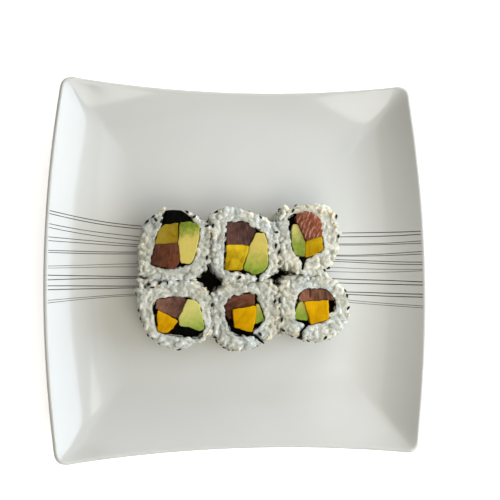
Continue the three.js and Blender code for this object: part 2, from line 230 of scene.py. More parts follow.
def quarter_outline():
    """From the middle of a side edge, round a corner, to the middle of an end edge."""
    side_y = np.linspace(0, CORNER[1] - CORNER_CUT, EDGE_STEPS)
    end_x = np.linspace(CORNER[0] - CORNER_CUT, 0, EDGE_STEPS)
    side = np.column_stack([side_edge(side_y), side_y])
    end = np.column_stack([end_x, end_edge(end_x)])
    t = np.linspace(0, 1, CORNER_STEPS + 2)[1:-1, None]
    corner = (1 - t) ** 2 * side[-1] + 2 * t * (1 - t) * CORNER + t**2 * end[0]
    return np.vstack([side, corner, end])


def plate_outline():
    quarter = quarter_outline()
    parts = []
    for x, y in ((1, 1), (-1, 1), (-1, -1), (1, -1)):
        part = quarter * (x, y)
        parts.append((part if x == y else part[::-1])[:-1])
    return np.vstack(parts)


def lift(x, y):
    """How far the plate stands above its floor."""
    side_lift = SIDE_LIFT + (CORNER_LIFT - SIDE_LIFT) * (y / CORNER[1]) ** 2
    end_lift = END_LIFT + (CORNER_LIFT - END_LIFT) * (x / CORNER[0]) ** 2
    up_side = np.clip((np.abs(x) - SIDE_RISE) / (side_edge(y) - SIDE_RISE), 0, None) ** RISE_POWER
    up_end = np.clip((np.abs(y) - END_RISE) / (end_edge(x) - END_RISE), 0, None) ** RISE_POWER
    return ((side_lift * up_side) ** CREASE + (end_lift * up_end) ** CREASE) ** (1 / CREASE)


def skin(outline, share, turn):
    """A ring of the plate's skin: turn is 90 degrees on top, 0 at the lip and -90 underneath."""
    x, y = (outline * share).T
    slope_x = (lift(x + SLOPE_STEP, y) - lift(x - SLOPE_STEP, y)) / (2 * SLOPE_STEP)
    slope_y = (lift(x, y + SLOPE_STEP) - lift(x, y - SLOPE_STEP)) / (2 * SLOPE_STEP)
    normal = unit(np.column_stack([-slope_x, -slope_y, np.ones_like(x)]))
    outwards = along_surface(unit(np.column_stack([outline, np.zeros_like(x)])), normal)
    half = HALF_FLOOR + (HALF_RIM - HALF_FLOOR) * share**3
    angle = math.radians(turn)
    middle = np.column_stack([x, y, FOOT + HALF_FLOOR + lift(x, y)])
    return middle + half * (math.cos(angle) * outwards + math.sin(angle) * normal)


def foot_ring(outline, share, height):
    return np.column_stack([outline * share, np.full(len(outline), height)])


outline = plate_outline()
plate_rings = [skin(outline, share, 90) for share in TOP_SHARES]
plate_rings += [skin(outline, 1, turn) for turn in LIP_TURNS]
plate_rings += [skin(outline, share, -90) for share in UNDER_SHARES]
plate_rings += [foot_ring(outline, share, height * FOOT) for share, height in FOOT_SECTION]
plate_corners, plate_faces = wrap_rings(plate_rings)
print("plate:", len(plate_rings), "rings of", len(outline), "points")

# %% [markdown]
# No finish of real food or glaze is one flat colour. Three effects are needed again and again here, so
# each is a node group with its own sockets. Cloudy colour drifts between two colours in soft patches.
# Streaks is the same idea stretched along one direction, for the fibres of fish or the lines in fruit.
# Along measures how far a point lies from one place to another, for a colour that changes across a
# slice. All three work from the object's own coordinates, so they stay put when the camera moves. Small
# helpers add one node each and hand back its output, which keeps a material down to a few lines.

# %% Build the shared shader groups
def new_group(name, sockets_in, sockets_out):
    group = bpy.data.node_groups.new(name, "ShaderNodeTree")
    for kind, label, value in sockets_in:
        socket = group.interface.new_socket(label, in_out="INPUT", socket_type=kind)
        socket.default_value = value
    for kind, label in sockets_out:
        group.interface.new_socket(label, in_out="OUTPUT", socket_type=kind)
    start = group.nodes.new("NodeGroupInput")
    end = group.nodes.new("NodeGroupOutput")
    return group, start, end


def add_node(tree, kind, settings=(), links=()):
    """A node with its settings, and with each named input linked to a socket or set to a value."""
    node = tree.nodes.new(kind)
    for label, value in dict(settings).items():
        setattr(node, label, value)
    for label, source in dict(links).items():
        if isinstance(source, bpy.types.NodeSocket):
            tree.links.new(source, node.inputs[label])
        else:
            node.inputs[label].default_value = source
    return node


def mix_colours(tree, factor, first, second):
    """The output of a colour mix. Its sockets share names, so they are picked by number."""
    links = {0: factor, 6: first, 7: second}
    return add_node(tree, "ShaderNodeMix", {"data_type": "RGBA"}, links).outputs[2]


def calculate(tree, operation, *values, clamp=False):
    """The output of a sum with numbers or sockets."""
    settings = {"operation": operation, "use_clamp": clamp}
    return add_node(tree, "ShaderNodeMath", settings, enumerate(values)).outputs[0]


def combine(tree, operation, first, second, output=0):
    """The output of a sum with two vectors."""
    settings = {"operation": operation}
    return add_node(tree, "ShaderNodeVectorMath", settings, {0: first, 1: second}).outputs[output]


def remap(tree, value, *, start=0, end=1, low=0, high=1):
    """A value that goes from low to high while the one it is made of goes from start to end."""
    links = {"Value": value, "From Min": start, "From Max": end, "To Min": low, "To Max": high}
    return add_node(tree, "ShaderNodeMapRange", {}, links).outputs["Result"]


def own_place(tree):
    """Where a point lies on its object."""
    return add_node(tree, "ShaderNodeTexCoord").outputs["Object"]


def add_noise(tree, place, scale, detail, **others):
    links = {"Vector": place, "Scale": scale, "Detail": detail, **others}
    return add_node(tree, "ShaderNodeTexNoise", {}, links)


def build_cloudy_colour():
    group, start, end = new_group(
        "Cloudy colour",
        [
            ("NodeSocketColor", "Light", (1, 1, 1, 1)),
            ("NodeSocketColor", "Dark", (0, 0, 0, 1)),
            ("NodeSocketFloat", "Patches per metre", 200),
            ("NodeSocketFloat", "Contrast", 1),
        ],
        [("NodeSocketColor", "Colour"), ("NodeSocketFloat", "Cloud")],
    )
    scale = start.outputs["Patches per metre"]
    cloud = add_noise(group, own_place(group), scale, 3, Roughness=0.55).outputs["Fac"]
    centred = calculate(group, "SUBTRACT", cloud, 0.5)
    scaled = calculate(group, "MULTIPLY", centred, start.outputs["Contrast"])
    mask = remap(group, scaled, start=-0.25, end=0.25)
    colour = mix_colours(group, mask, start.outputs["Dark"], start.outputs["Light"])
    group.links.new(colour, end.inputs["Colour"])
    group.links.new(mask, end.inputs["Cloud"])
    return group


# Streaks bend by a little noise of their own. They lie where the height is near the crest of the noise.
BENDS_PER_METRE = 130
BEND_REACH = 2.5 * MM
NOISE_CREST = 0.78
STREAK_EDGE = 0.12


def build_streaks():
    group, start, end = new_group(
        "Streaks",
        [
            ("NodeSocketVector", "Turn", (0, 0, 0)),
            ("NodeSocketFloat", "Streaks per metre", 500),
            ("NodeSocketFloat", "Length", 8),
            ("NodeSocketFloat", "Share covered", 0.4),
        ],
        [("NodeSocketFloat", "Streak"), ("NodeSocketFloat", "Height")],
    )
    place = own_place(group)
    bend = add_noise(group, place, BENDS_PER_METRE, 1).outputs["Color"]
    shift = add_node(group, "ShaderNodeVectorMath", {"operation": "SCALE"}, {0: bend, "Scale": BEND_REACH})
    place = combine(group, "ADD", place, shift.outputs[0])
    turn = {"Vector": place, "Rotation": start.outputs["Turn"]}
    turned = add_node(group, "ShaderNodeVectorRotate", {"rotation_type": "EULER_XYZ"}, turn).outputs[0]
    axes = add_node(group, "ShaderNodeSeparateXYZ", {}, {0: turned}).outputs
    shorter = calculate(group, "DIVIDE", axes["X"], start.outputs["Length"])
    stretch = {"X": shorter, "Y": axes["Y"], "Z": axes["Z"]}
    stretched = add_node(group, "ShaderNodeCombineXYZ", {}, stretch).outputs[0]
    scale = start.outputs["Streaks per metre"]
    height = add_noise(group, stretched, scale, 2, Roughness=0.6).outputs["Fac"]
    edge = calculate(group, "SUBTRACT", NOISE_CREST, start.outputs["Share covered"])
    full = calculate(group, "ADD", edge, STREAK_EDGE)
    streak = remap(group, height, start=edge, end=full)
    group.links.new(streak, end.inputs["Streak"])
    group.links.new(height, end.inputs["Height"])
    return group


def build_along():
    group, start, end = new_group(
        "Along",
        [("NodeSocketVector", "From", (0, 0, 0)), ("NodeSocketVector", "To", (0, 0, 1))],
        [("NodeSocketFloat", "Share")],
    )
    whole = combine(group, "SUBTRACT", start.outputs["To"], start.outputs["From"])
    part = combine(group, "SUBTRACT", own_place(group), start.outputs["From"])
    reached = combine(group, "DOT_PRODUCT", part, whole, "Value")
    length = combine(group, "DOT_PRODUCT", whole, whole, "Value")
    share = calculate(group, "DIVIDE", reached, length, clamp=True)
    group.links.new(share, end.inputs["Share"])
    return group


CLOUDY = build_cloudy_colour()
STREAKS = build_streaks()
ALONG = build_along()


def use_group(tree, group, **links):
    """A shader group placed in a material. Its inputs are named with _ for each space."""
    spaced = {label.replace("_", " "): value for label, value in links.items()}
    return add_node(tree, "ShaderNodeGroup", {"node_tree": group}, spaced)


def new_material(name, **sockets):
    """A material, its node tree and its main shader, with the shader's own sockets set."""
    material = bpy.data.materials.new(name)
    material.use_nodes = True
    tree = material.node_tree
    shader = tree.nodes["Principled BSDF"]
    for label, value in sockets.items():
        shader.inputs[label.replace("_", " ")].default_value = value
    return material, tree, shader


def add_bump(tree, shader, height, depth):
    """Fine relief of a given depth in metres."""
    bump = add_node(tree, "ShaderNodeBump", {}, {"Height": height, "Distance": depth})
    tree.links.new(bump.outputs["Normal"], shader.inputs["Normal"])


def set_finish(tree, shader, base, roughness=None):
    """Sockets that give the shader its colour and, where it varies, its roughness."""
    tree.links.new(base, shader.inputs["Base Color"])
    if roughness:
        tree.links.new(roughness, shader.inputs["Roughness"])


def colour(red, green, blue):
    """A colour as a picture shows it, from 0 to 255, turned into the linear light that shaders use."""
    values = np.array([red, green, blue]) / 255
    linear = np.where(values <= 0.04045, values / 12.92, ((values + 0.055) / 1.055) ** 2.4)
    return (*linear.tolist(), 1.0)


print("shader groups:", ", ".join(group.name for group in bpy.data.node_groups))

# %% [markdown]
# Porcelain glaze is white, a little warm and very smooth, but never perfectly flat: the glaze pools in
# long soft waves that show as slight wobbles in its reflections. A clear coat over an almost matt body
# would do it too, but one glossy layer with a faint, wide bump gives the same look and exports well.

# %% Glaze the plate
def glaze_material():
    material, tree, shader = new_material("porcelain_glaze", IOR=1.5, Roughness=0.12)
    body = use_group(
        tree, CLOUDY, Light=colour(211, 211, 207), Dark=colour(208, 208, 204), Patches_per_metre=18
    )
    polish = remap(tree, body.outputs["Cloud"], low=0.09, high=0.14)
    set_finish(tree, shader, body.outputs["Colour"], polish)
    pool = add_noise(tree, own_place(tree), 30, 1)
    add_bump(tree, shader, pool.outputs["Fac"], 0.3 * MM)
    return material


make_piece("porcelain_plate", plate_corners, plate_faces, glaze_material(), "porcelain", ["plate"])
print("plate triangles:", sum(len(face) - 2 for face in plate_faces))

# %% [markdown]
# Thin lines are drawn across the glaze in pairs, from rim to rim, behind the food. A texture could hold
# them, but a line of half a millimetre needs a very fine one. A strip of enamel that follows the plate
# stays sharp at any size. Each line is a gentle curve through four places seen in the photograph: near
# the left rim, left of the food, right of the food and near the right rim.

# %% Draw the lines on the plate
LINE_COLUMNS = (46, 130, 345, 422)
LINE_ROWS = (
    ((210, 225, 233, 231), (213, 228, 237, 234)),
    ((223, 236, 244, 241), (226.5, 240, 245, 243.5)),
    ((236.5, 244, 255, 251.5), (240.5, 246, 256, 254)),
    ((250.5, 252, 260, 262), (252.5, 254, 262, 264.5)),
    ((266, 264, 268, 269.5), (268, 267, 272, 271)),
    ((275, 276.5, 279, 282), (280, 278, 283, 285)),
    ((286, 286, 292, 294), (290, 288, 294.5, 297)),
    ((300.5, 294.5, 300, 306), (303, 296, 302, 308)),
)
LINE_WIDTHS = np.array([0.55, 0.45, 0.45, 0.5, 0.32, 0.6, 0.6, 0.35]) * MM
LINE_STEPS = 180
LINE_THICKNESS = 0.05 * MM
LINE_WAVER = 0.12 * MM
LINE_WAVE = 11 * MM
LINE_END_GAP = 0.2 * MM
PAIR_PHASE, HALF_PHASE = 2.1, 0.7

plate_tree = BVHTree.FromPolygons(plate_corners.tolist(), plate_faces)
STRAIGHT_DOWN = Vector((0, 0, -1))
WELL_ABOVE = 100 * MM


def on_plate(x, y):
    """The height of the plate's upper face."""
    return plate_tree.ray_cast(Vector((x, y, WELL_ABOVE)), STRAIGHT_DOWN)[0].z


def enamel_line(rows, width, phase):
    """Four corners for each step along a line that passes through the picture's columns at these rows."""
    seen = [plate_tree.ray_cast(camera.location, sight_line(x, y))[0] for x, y in zip(LINE_COLUMNS, rows)]
    curve = np.polynomial.Polynomial.fit([p.x for p in seen], [p.y for p in seen], 3)
    reach = side_edge(curve(0)) - LINE_END_GAP
    x = np.linspace(-reach, reach, LINE_STEPS)
    y = curve(x) + LINE_WAVER * np.sin(x / LINE_WAVE + phase)
    section = []
    for offset, rise in ((-0.5, -1), (-0.5, 1), (0.5, 1), (0.5, -1)):
        side_y = y + offset * width
        z = [on_plate(a, b) + rise * LINE_THICKNESS for a, b in zip(x, side_y)]
        section.append(np.column_stack([x, side_y, z]))
    return list(np.stack(section, axis=1))


line_material, line_tree, line_shader = new_material("enamel_line", Roughness=0.3)
ink = use_group(line_tree, CLOUDY, Light=colour(92, 90, 88), Dark=colour(30, 29, 28), Patches_per_metre=60)
set_finish(line_tree, line_shader, ink.outputs["Colour"])

line_shapes = []
for number, (pair, width) in enumerate(zip(LINE_ROWS, LINE_WIDTHS)):
    for half, rows in enumerate(pair):
        phase = PAIR_PHASE * number + HALF_PHASE * half
        line_shapes.append(wrap_rings(enamel_line(rows, width, phase)))
make_piece("enamel_lines", *joined(line_shapes), line_material, "porcelain", ["plate"])
print("lines:", len(line_shapes), "widths in mm:", (LINE_WIDTHS / MM).round(2))

# %% [markdown]
# The food is dressed from the solids themselves. Their flat faces hold every outline that is needed: the
# cut face of each filling, and the ring of nori round all three. To read one, the faces that look up at
# one height are gathered, and the edges that only one of them uses are chained into loops.

# %% Read outlines off the solids
def solid_faces(node):
    """Corners and triangles of a solid, with corners that share a place joined."""
    mesh = frame["nodes"][node].data
    mesh.calc_loop_triangles()
    corners = np.array([vertex.co for vertex in mesh.vertices])
    places, joined = np.unique(corners.round(6), axis=0, return_inverse=True)
    triangles = joined.ravel()[np.array([t.vertices for t in mesh.loop_triangles])]
    return places, triangles


def border_edges(triangles):
    """The edges that only one triangle uses, each in the direction in which it uses it."""
    border = {}
    for triangle in triangles:
        for i, j in zip(triangle, np.roll(triangle, -1)):
            if (j, i) in border:
                del border[(j, i)]
            else:
                border[(i, j)] = True
    return border


def loops_at(node, height, tolerance=0.05 * MM):
    """The outlines, turning left, of a solid's faces that lie at a height and look up. Longest first."""
    places, triangles = solid_faces(node)
    a, b, c = (places[triangles[:, i]] for i in range(3))
    up = np.cross(b - a, c - a)[:, 2] > 0
    level = np.all(np.abs(places[triangles][:, :, 2] - height) < tolerance, axis=1)
    following = {i: j for i, j in border_edges(triangles[up & level])}
    loops = []
    while following:
        first, here = following.popitem()
        chain = [first]
        while here != first and here in following:
            chain.append(here)
            here = following.pop(here)
        loops.append(places[chain][:, :2])
    return sorted(loops, key=loop_length, reverse=True)


def loop_length(loop):
    return np.linalg.norm(np.roll(loop, -1, axis=0) - loop, axis=1).sum()


def top_of(node):
    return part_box(node)[1].z


FLOOR = FOOT + 2 * HALF_FLOOR
cut_height = {k: top_of(f"nori_{k}") for k in PIECES}
BARS = {(kind, k): f"{kind}_{k}" for kind in FILLINGS for k in PIECES}
filling_loops = {bar: loops_at(node, top_of(node))[0] for bar, node in BARS.items()}
nori_loops = {k: loops_at(f"nori_{k}", cut_height[k])[:2] for k in PIECES}
centres = {k: nori_loops[k][1].mean(0) for k in PIECES}
for k in PIECES:
    around = [round(loop_length(loop) / MM) for loop in nori_loops[k]]
    print("piece", k, "cut face at", round(cut_height[k] / MM, 1), "mm, nori", around, "mm round")

# %% [markdown]
# A bar of fish or fruit stands on the plate and shows only its cut end. Its sides could be left as the
# solid has them, but the end has to look sliced: a faint swell, softly rounded edges and a relief that
# differs for each food. So the end is filled with a net of small triangles inside the outline, and a
# function says how high each point of it lies. The same net serves folded nori.

# %% Helpers for pieces that stand on end
# A slab's sides have a row of corners at each of these drops below its top, and none nearer its foot than
# the last value. Points of its net keep a share of the spacing from the outline.
SLAB_ROWS = (0.5 * MM, 2 * MM, 6 * MM)
LOWEST_ROW = 0.1 * MM
NET_MARGIN = 0.6
# Points nearer than this count as one, and so does a side whose squared length is below the second value.
CLOSEST = 1e-7
NO_LENGTH = 1e-18
# Each seed reads the noise at a level of its own.
SEED_STEP = 7.3


def even_loop(loop, spacing):
    """A loop with points about one spacing apart."""
    following = np.roll(loop, -1, axis=0)
    points = []
    for here, after in zip(loop, following):
        steps = max(1, round(np.linalg.norm(after - here) / spacing))
        points += [here + (after - here) * i / steps for i in range(steps)]
    return np.array(points)


def is_inside(points, loop):
    """Which points lie within a loop, by counting how often a line to the right crosses it."""
    x, y = points[:, :1], points[:, 1:2]
    (x0, y0), (x1, y1) = loop.T, np.roll(loop, -1, axis=0).T
    crosses = (y0 > y) != (y1 > y)
    with np.errstate(divide="ignore", invalid="ignore"):
        meets = x0 + (y - y0) * (x1 - x0) / (y1 - y0)
    return (crosses & (x < meets)).sum(1) % 2 == 1


def distance_to(points, loop):
    """How far each point is from a loop's line."""
    start = loop[None]
    edge = np.roll(loop, -1, axis=0)[None] - start
    to_point = points[:, None] - start
    share = (to_point * edge).sum(2) / np.maximum((edge**2).sum(2), NO_LENGTH)
    nearest = to_point - np.clip(share, 0, 1)[:, :, None] * edge
    return np.sqrt((nearest**2).sum(2)).min(1)


def between(points, loops):
    """Which points lie within the first loop and in none of the others."""
    free = is_inside(points, loops[0])
    for hole in loops[1:]:
        free &= ~is_inside(points, hole)
    return free


def standing_slab(loop, holes, floor, top, spacing, rows=SLAB_ROWS):
    """Corners and faces of a closed piece on end. top gives heights for points seen from above."""
    loops = [even_loop(part, spacing) for part in (loop, *holes)]
    low, high = loop.min(0), loop.max(0)
    rise = spacing * math.sqrt(3) / 2
    grid = [
        (x + (row % 2) * spacing / 2, y)
        for row, y in enumerate(np.arange(low[1], high[1], rise))
        for x in np.arange(low[0], high[0], spacing)
    ]
    grid = np.array(grid)
    keep = between(grid, loops)
    for part in loops:
        keep &= distance_to(grid, part) > NET_MARGIN * spacing
    flat = np.vstack([*loops, grid[keep]])
    edges, start = [], 0
    for part in loops:
        edges += [(start + i, start + j) for i, j in round_trip(len(part))]
        start += len(part)
    result = geometry.delaunay_2d_cdt([Vector(p) for p in flat.tolist()], edges, [], 0, CLOSEST)
    flat = np.array([tuple(p) for p in result[0]])
    triangles = np.array(result[2])
    keep = between(flat[triangles].mean(1), loops)
    return close_slab(flat, triangles[keep], floor, top(flat), rows)


def close_slab(flat, triangles, floor, heights, rows):
    """The net as an upper face, with walls down to a flat underside."""
    ab, ac = (flat[triangles[:, i]] - flat[triangles[:, 0]] for i in (1, 2))
    turned = ab[:, 0] * ac[:, 1] - ab[:, 1] * ac[:, 0] < 0
    triangles[turned] = triangles[turned][:, ::-1]
    used, triangles = np.unique(triangles, return_inverse=True)
    triangles = triangles.reshape(-1, 3)
    flat, heights = flat[used], heights[used]
    count = len(flat)
    border = border_edges(triangles)
    layers = [np.column_stack([flat, heights])]
    layers += [np.column_stack([flat, np.maximum(heights - drop, floor + LOWEST_ROW)]) for drop in rows]
    layers.append(np.column_stack([flat, np.full(count, floor)]))
    faces = [tuple(t) for t in triangles]
    for k in range(len(layers) - 1):
        above, below = k * count, (k + 1) * count
        faces += [(above + j, above + i, below + i, below + j) for i, j in border]
    last = (len(layers) - 1) * count
    faces += [tuple(last + i for i in t[::-1]) for t in triangles]
    return drop_loose(np.vstack(layers), faces)


def drop_loose(corners, faces):
    """Corners that no face uses are left out."""
    used = np.unique(np.concatenate([np.array(face) for face in faces]))
    number = np.full(len(corners), -1)
    number[used] = np.arange(len(used))
    return corners[used], [tuple(number[list(face)]) for face in faces]


def wobble(points, size, seed, octaves=2):
    """Smooth noise from about -1 to 1 over flat points, with features of a given size."""
    level = seed * SEED_STEP
    places = [Vector((x / size, y / size, level)) for x, y in points]
    return np.array([noise.fractal(p, 1.0, 2.0, octaves, noise_basis="PERLIN_ORIGINAL") for p in places])


def relief(points, k, depth, size, seed, octaves=2):
    """The same noise as heights in metres, different on each piece."""
    return depth * wobble(points, size, k + seed, octaves)


def edge_drop(points, loop, radius):
    """How far a rounded edge falls away below the face."""
    inwards = np.clip(distance_to(points, loop) / radius, 0, 1)
    return radius * (1 - np.sqrt(1 - (1 - inwards) ** 2))


print("helpers ready: a net of triangles inside any outline")

# %% [markdown]
# Tuna, mango and avocado each have a cut end of their own. The fish is in fibres, which part a little
# when it is cut and stand as fine ridges. Mango is wet and smooth with broad shallow facets from the
# knife. Avocado is buttery: its end is smooth and its edge is soft. Each bar fills the outline of its
# solid, with its corners drawn out sharp and its sides wavering as a hand-cut strip's do. It is pushed
# out a little, so that neighbours touch as they do in the real roll.

# %% Shape the fillings
END_SPACING = 0.42 * MM
LONG_SIDE = 1.6 * MM
CORNER_REACH = 3.6 * MM
CONTACT = 0.22 * MM
WAVER = 0.45 * MM
WAVER_SIZE = 3 * MM
WAVER_SEEDS = (130, 140)
# Two sides that are nearly in line have no corner, and a corner is this share of the way to their meeting.
NEARLY_IN_LINE = 0.15
CORNER_SHARE = 0.75
FIBRE_TURN = {1: 80, 2: 100, 3: 70, 4: 60, 5: 25, 6: 100}
FIBRE_LENGTH = 9
# The broad relief of each cut end: its depth, size, first seed and octaves.
BROAD_RELIEF = {
    "tuna": (0.35 * MM, 6 * MM, 10, 2),
    "mango": (0.4 * MM, 8 * MM, 20, 1),
    "avocado": (0.3 * MM, 7 * MM, 40, 1),
}
# The fine relief of each cut end: its depth, size and first seed.
FINE_RELIEF = {
    "tuna": (0.16 * MM, 1.1 * MM, 0),
    "mango": (0.06 * MM, 1.6 * MM, 30),
    "avocado": (0.04 * MM, 1.2 * MM, 50),
}
END_RADIUS = {"tuna": 0.16 * MM, "mango": 0.13 * MM, "avocado": 0.16 * MM}


def squared(loop):
    """A loop whose rounded corners are drawn out to where its straight sides would meet."""
    ahead = np.roll(loop, -1, axis=0) - loop
    long_sides = np.flatnonzero(np.linalg.norm(ahead, axis=1) > LONG_SIDE)
    points = []
    for this, that in zip(long_sides, np.roll(long_sides, -1)):
        a, u = loop[this], ahead[this]
        b, v = loop[that], ahead[that]
        cross = u[0] * v[1] - u[1] * v[0]
        number = (this + 1) % len(loop)
        end = loop[number]
        rounded = that != number
        sharp = rounded and abs(cross) > NEARLY_IN_LINE * np.linalg.norm(u) * np.linalg.norm(v)
        meeting = a + u * ((b - a)[0] * v[1] - (b - a)[1] * v[0]) / cross if sharp else end
        near = max(np.linalg.norm(meeting - end), np.linalg.norm(meeting - b)) < CORNER_REACH
        if sharp and near:
            points += [CORNER_SHARE * meeting + (1 - CORNER_SHARE) * side for side in (end, b)]
        else:
            while number != (that + 1) % len(loop):
                points.append(loop[number])
                number = (number + 1) % len(loop)
    return np.array(points)


# The fish of the sixth piece has a cleft: the two ends of it, as spots of the picture.
CLEFTS = {6: ((309, 286), (309.8, 297))}
CLEFT_DEPTH = 1.1 * MM
CLEFT_WIDTH = 0.42 * MM
# The fish of the fifth piece goes on below the mango, where it shows as a low ledge.
LEDGE_SPOTS = ((221.5, 303.5), (226, 303.5), (232, 304), (232.5, 319), (229, 319.5), (226, 316), (223.5, 310))
LEDGE_DEPTH = 1.4 * MM
LEDGE_RADIUS = 0.6 * MM
LEDGE_PIECE = 5
LEDGE_RELIEF = (0.4 * MM, 4 * MM, 91)


def at_height(x, y, height):
    """Where the line of sight through a spot of the picture is at a height."""
    sight = sight_line(x, y)
    return CAMERA_PLACE + sight * ((height - CAMERA_PLACE.z) / sight.z)


def turns_left(loop):
    x, y = loop.T
    return (x * np.roll(y, -1) - np.roll(x, -1) * y).sum() > 0


def spots_loop(spots, height):
    """A loop that turns left through spots of the picture at a height."""
    loop = np.array([at_height(x, y, height)[:2] for x, y in spots])
    return loop if turns_left(loop) else loop[::-1]


def cleft_drop(kind, k, points, height):
    """How far a cleft in the fish sinks below the face."""
    if kind != "tuna" or k not in CLEFTS:
        return 0
    line = np.array([at_height(x, y, height)[:2] for x, y in CLEFTS[k]])
    return CLEFT_DEPTH * np.exp(-((distance_to(points, line) / CLEFT_WIDTH) ** 2))


def direction(turn):
    """A level direction, from degrees."""
    return np.array([math.cos(math.radians(turn)), math.sin(math.radians(turn))])


def along_fibres(k, points):
    """Points drawn together along the fibres, so that noise over them runs out into ridges."""
    along = direction(FIBRE_TURN[k])
    across_them = np.array([-along[1], along[0]])
    return np.column_stack([points @ along / FIBRE_LENGTH, points @ across_them])


def cut_end(kind, k, loop, top):
    """A function that gives the height of a bar's cut end at points seen from above."""

    def heights(points):
        drawn = along_fibres(k, points) if kind == "tuna" else points
        uneven = relief(points, k, *BROAD_RELIEF[kind]) + relief(drawn, k, *FINE_RELIEF[kind])
        return top + uneven - edge_drop(points, loop, END_RADIUS[kind]) - cleft_drop(kind, k, points, top)

    return heights


def grown(loop, distance):
    """A loop that turns left, moved outwards."""
    before = unit(loop - np.roll(loop, 1, axis=0))
    after = unit(np.roll(loop, -1, axis=0) - loop)
    out = np.column_stack([before[:, 1] + after[:, 1], -before[:, 0] - after[:, 0]])
    return loop + distance * out / np.linalg.norm(out, axis=1)[:, None]


def hand_cut(loop, k):
    """A loop whose sides waver a little. Neighbours in one piece waver together, so they still touch."""
    line = even_loop(loop, 1.5 * END_SPACING)
    shift = np.column_stack([wobble(line, WAVER_SIZE, k + seed) for seed in WAVER_SEEDS])
    return line + WAVER * shift


bar_loops = {bar: hand_cut(grown(squared(loop), CONTACT), bar[1]) for bar, loop in filling_loops.items()}


def filling_shape(kind, k):
    loop = bar_loops[kind, k]
    top = cut_end(kind, k, even_loop(loop, END_SPACING), top_of(BARS[kind, k]))
    shape = standing_slab(loop, [], FLOOR, top, END_SPACING)
    return joined([shape, tuna_ledge()]) if (kind, k) == ("tuna", LEDGE_PIECE) else shape


def tuna_ledge():
    height = cut_height[LEDGE_PIECE] - LEDGE_DEPTH
    loop = spots_loop(LEDGE_SPOTS, height)

    def heights(points):
        uneven = relief(points, LEDGE_PIECE, *LEDGE_RELIEF)
        return height + uneven - edge_drop(points, loop, LEDGE_RADIUS)

    return standing_slab(loop, [], FLOOR, heights, END_SPACING)


filling_shapes = {bar: filling_shape(*bar) for bar in BARS}
print("fillings:", len(filling_shapes), "faces:", sum(len(faces) for _, faces in filling_shapes.values()))

# %% [markdown]
# Raw flesh and ripe fruit let light in before they send it back, so all three finishes scatter light
# below their surface, over a millimetre or two, and have a weak damp gloss. Colour is what tells them
# apart, and no two pieces match: tuna goes from brown red to pink, mango from olive yellow to orange,
# and avocado from green at its skin to yellow at its stone. So each piece has its own colours here.

# %% Finishes for the fillings
# Tuna has a dark colour, a light one, that of its fibres, and the direction in degrees of the light side.
TUNA_COLOURS = {
    1: ((66, 36, 22), (112, 60, 36), (146, 104, 84), 0),
    2: ((66, 44, 38), (102, 70, 60), (140, 108, 98), 200),
    3: ((110, 54, 34), (150, 84, 58), (226, 184, 164), 20),
    4: ((76, 48, 40), (132, 92, 74), (150, 116, 102), 180),
    5: ((68, 34, 18), (118, 70, 46), (138, 96, 76), 40),
    6: ((62, 33, 23), (142, 95, 71), (176, 134, 110), 180),
}
# Its pale fibres to the metre, and how strong they are. The third piece is cut from fatter fish.
PLAIN = (560, 0.28)
MARBLED = (800, 0.5)
FLESH_BUMP = 0.12 * MM
# Mango has a deep colour, a bright one, and the direction in degrees in which it brightens.
MANGO_COLOURS = {
    1: ((136, 106, 4), (156, 134, 44), 160),
    2: ((148, 112, 0), (218, 185, 34), 70),
    3: ((160, 121, 0), (193, 157, 18), 90),
    4: ((184, 126, 0), (214, 163, 4), 60),
    5: ((188, 134, 0), (210, 160, 0), 60),
    6: ((188, 135, 0), (217, 166, 6), 90),
}
# Avocado has the colour by its skin, the one by its stone, the direction of the skin, and the shares of
# the way there between which one turns into the other.
AVOCADO_COLOURS = {
    1: ((99, 129, 8), (207, 188, 97), 100, (0.56, 0.84)),
    2: ((110, 146, 22), (208, 188, 97), 265, (0.35, 0.92)),
    3: ((112, 136, 24), (218, 209, 127), 262, (0.1, 0.62)),
    4: ((114, 148, 24), (207, 199, 114), 285, (0.3, 0.95)),
    5: ((104, 138, 20), (188, 170, 88), 310, (0.1, 0.7)),
    6: ((114, 147, 20), (192, 187, 96), 250, (0.1, 0.7)),
}


def across_loop(loop, turn, height):
    """The two far ends of an outline along a direction, as places in space."""
    along = direction(turn)
    reach = (loop - loop.mean(0)) @ along
    low, high = (loop.mean(0) + along * r for r in (reach.min(), reach.max()))
    return (*low, height), (*high, height)


def share_across(tree, kind, k, turn):
    """How far a point lies across a bar's cut end, from 0 to 1 in the direction of turn."""
    low, high = across_loop(filling_loops[kind, k], turn, cut_height[k])
    return use_group(tree, ALONG, From=low, To=high).outputs["Share"]


def scaled(tone, factor, lift_by=0):
    """A colour made brighter or darker, as far as white."""
    return tuple(min(1, c * factor + lift_by) for c in tone)


def patchy(tree, share, patches_per_metre, amount):
    """A share from 0 to 1 that broad soft patches push up and down."""
    cloud = use_group(tree, CLOUDY, Patches_per_metre=patches_per_metre, Contrast=1.5).outputs["Cloud"]
    pushed = calculate(tree, "MULTIPLY_ADD", cloud, amount, -amount / 2)
    return calculate(tree, "ADD", share, pushed)


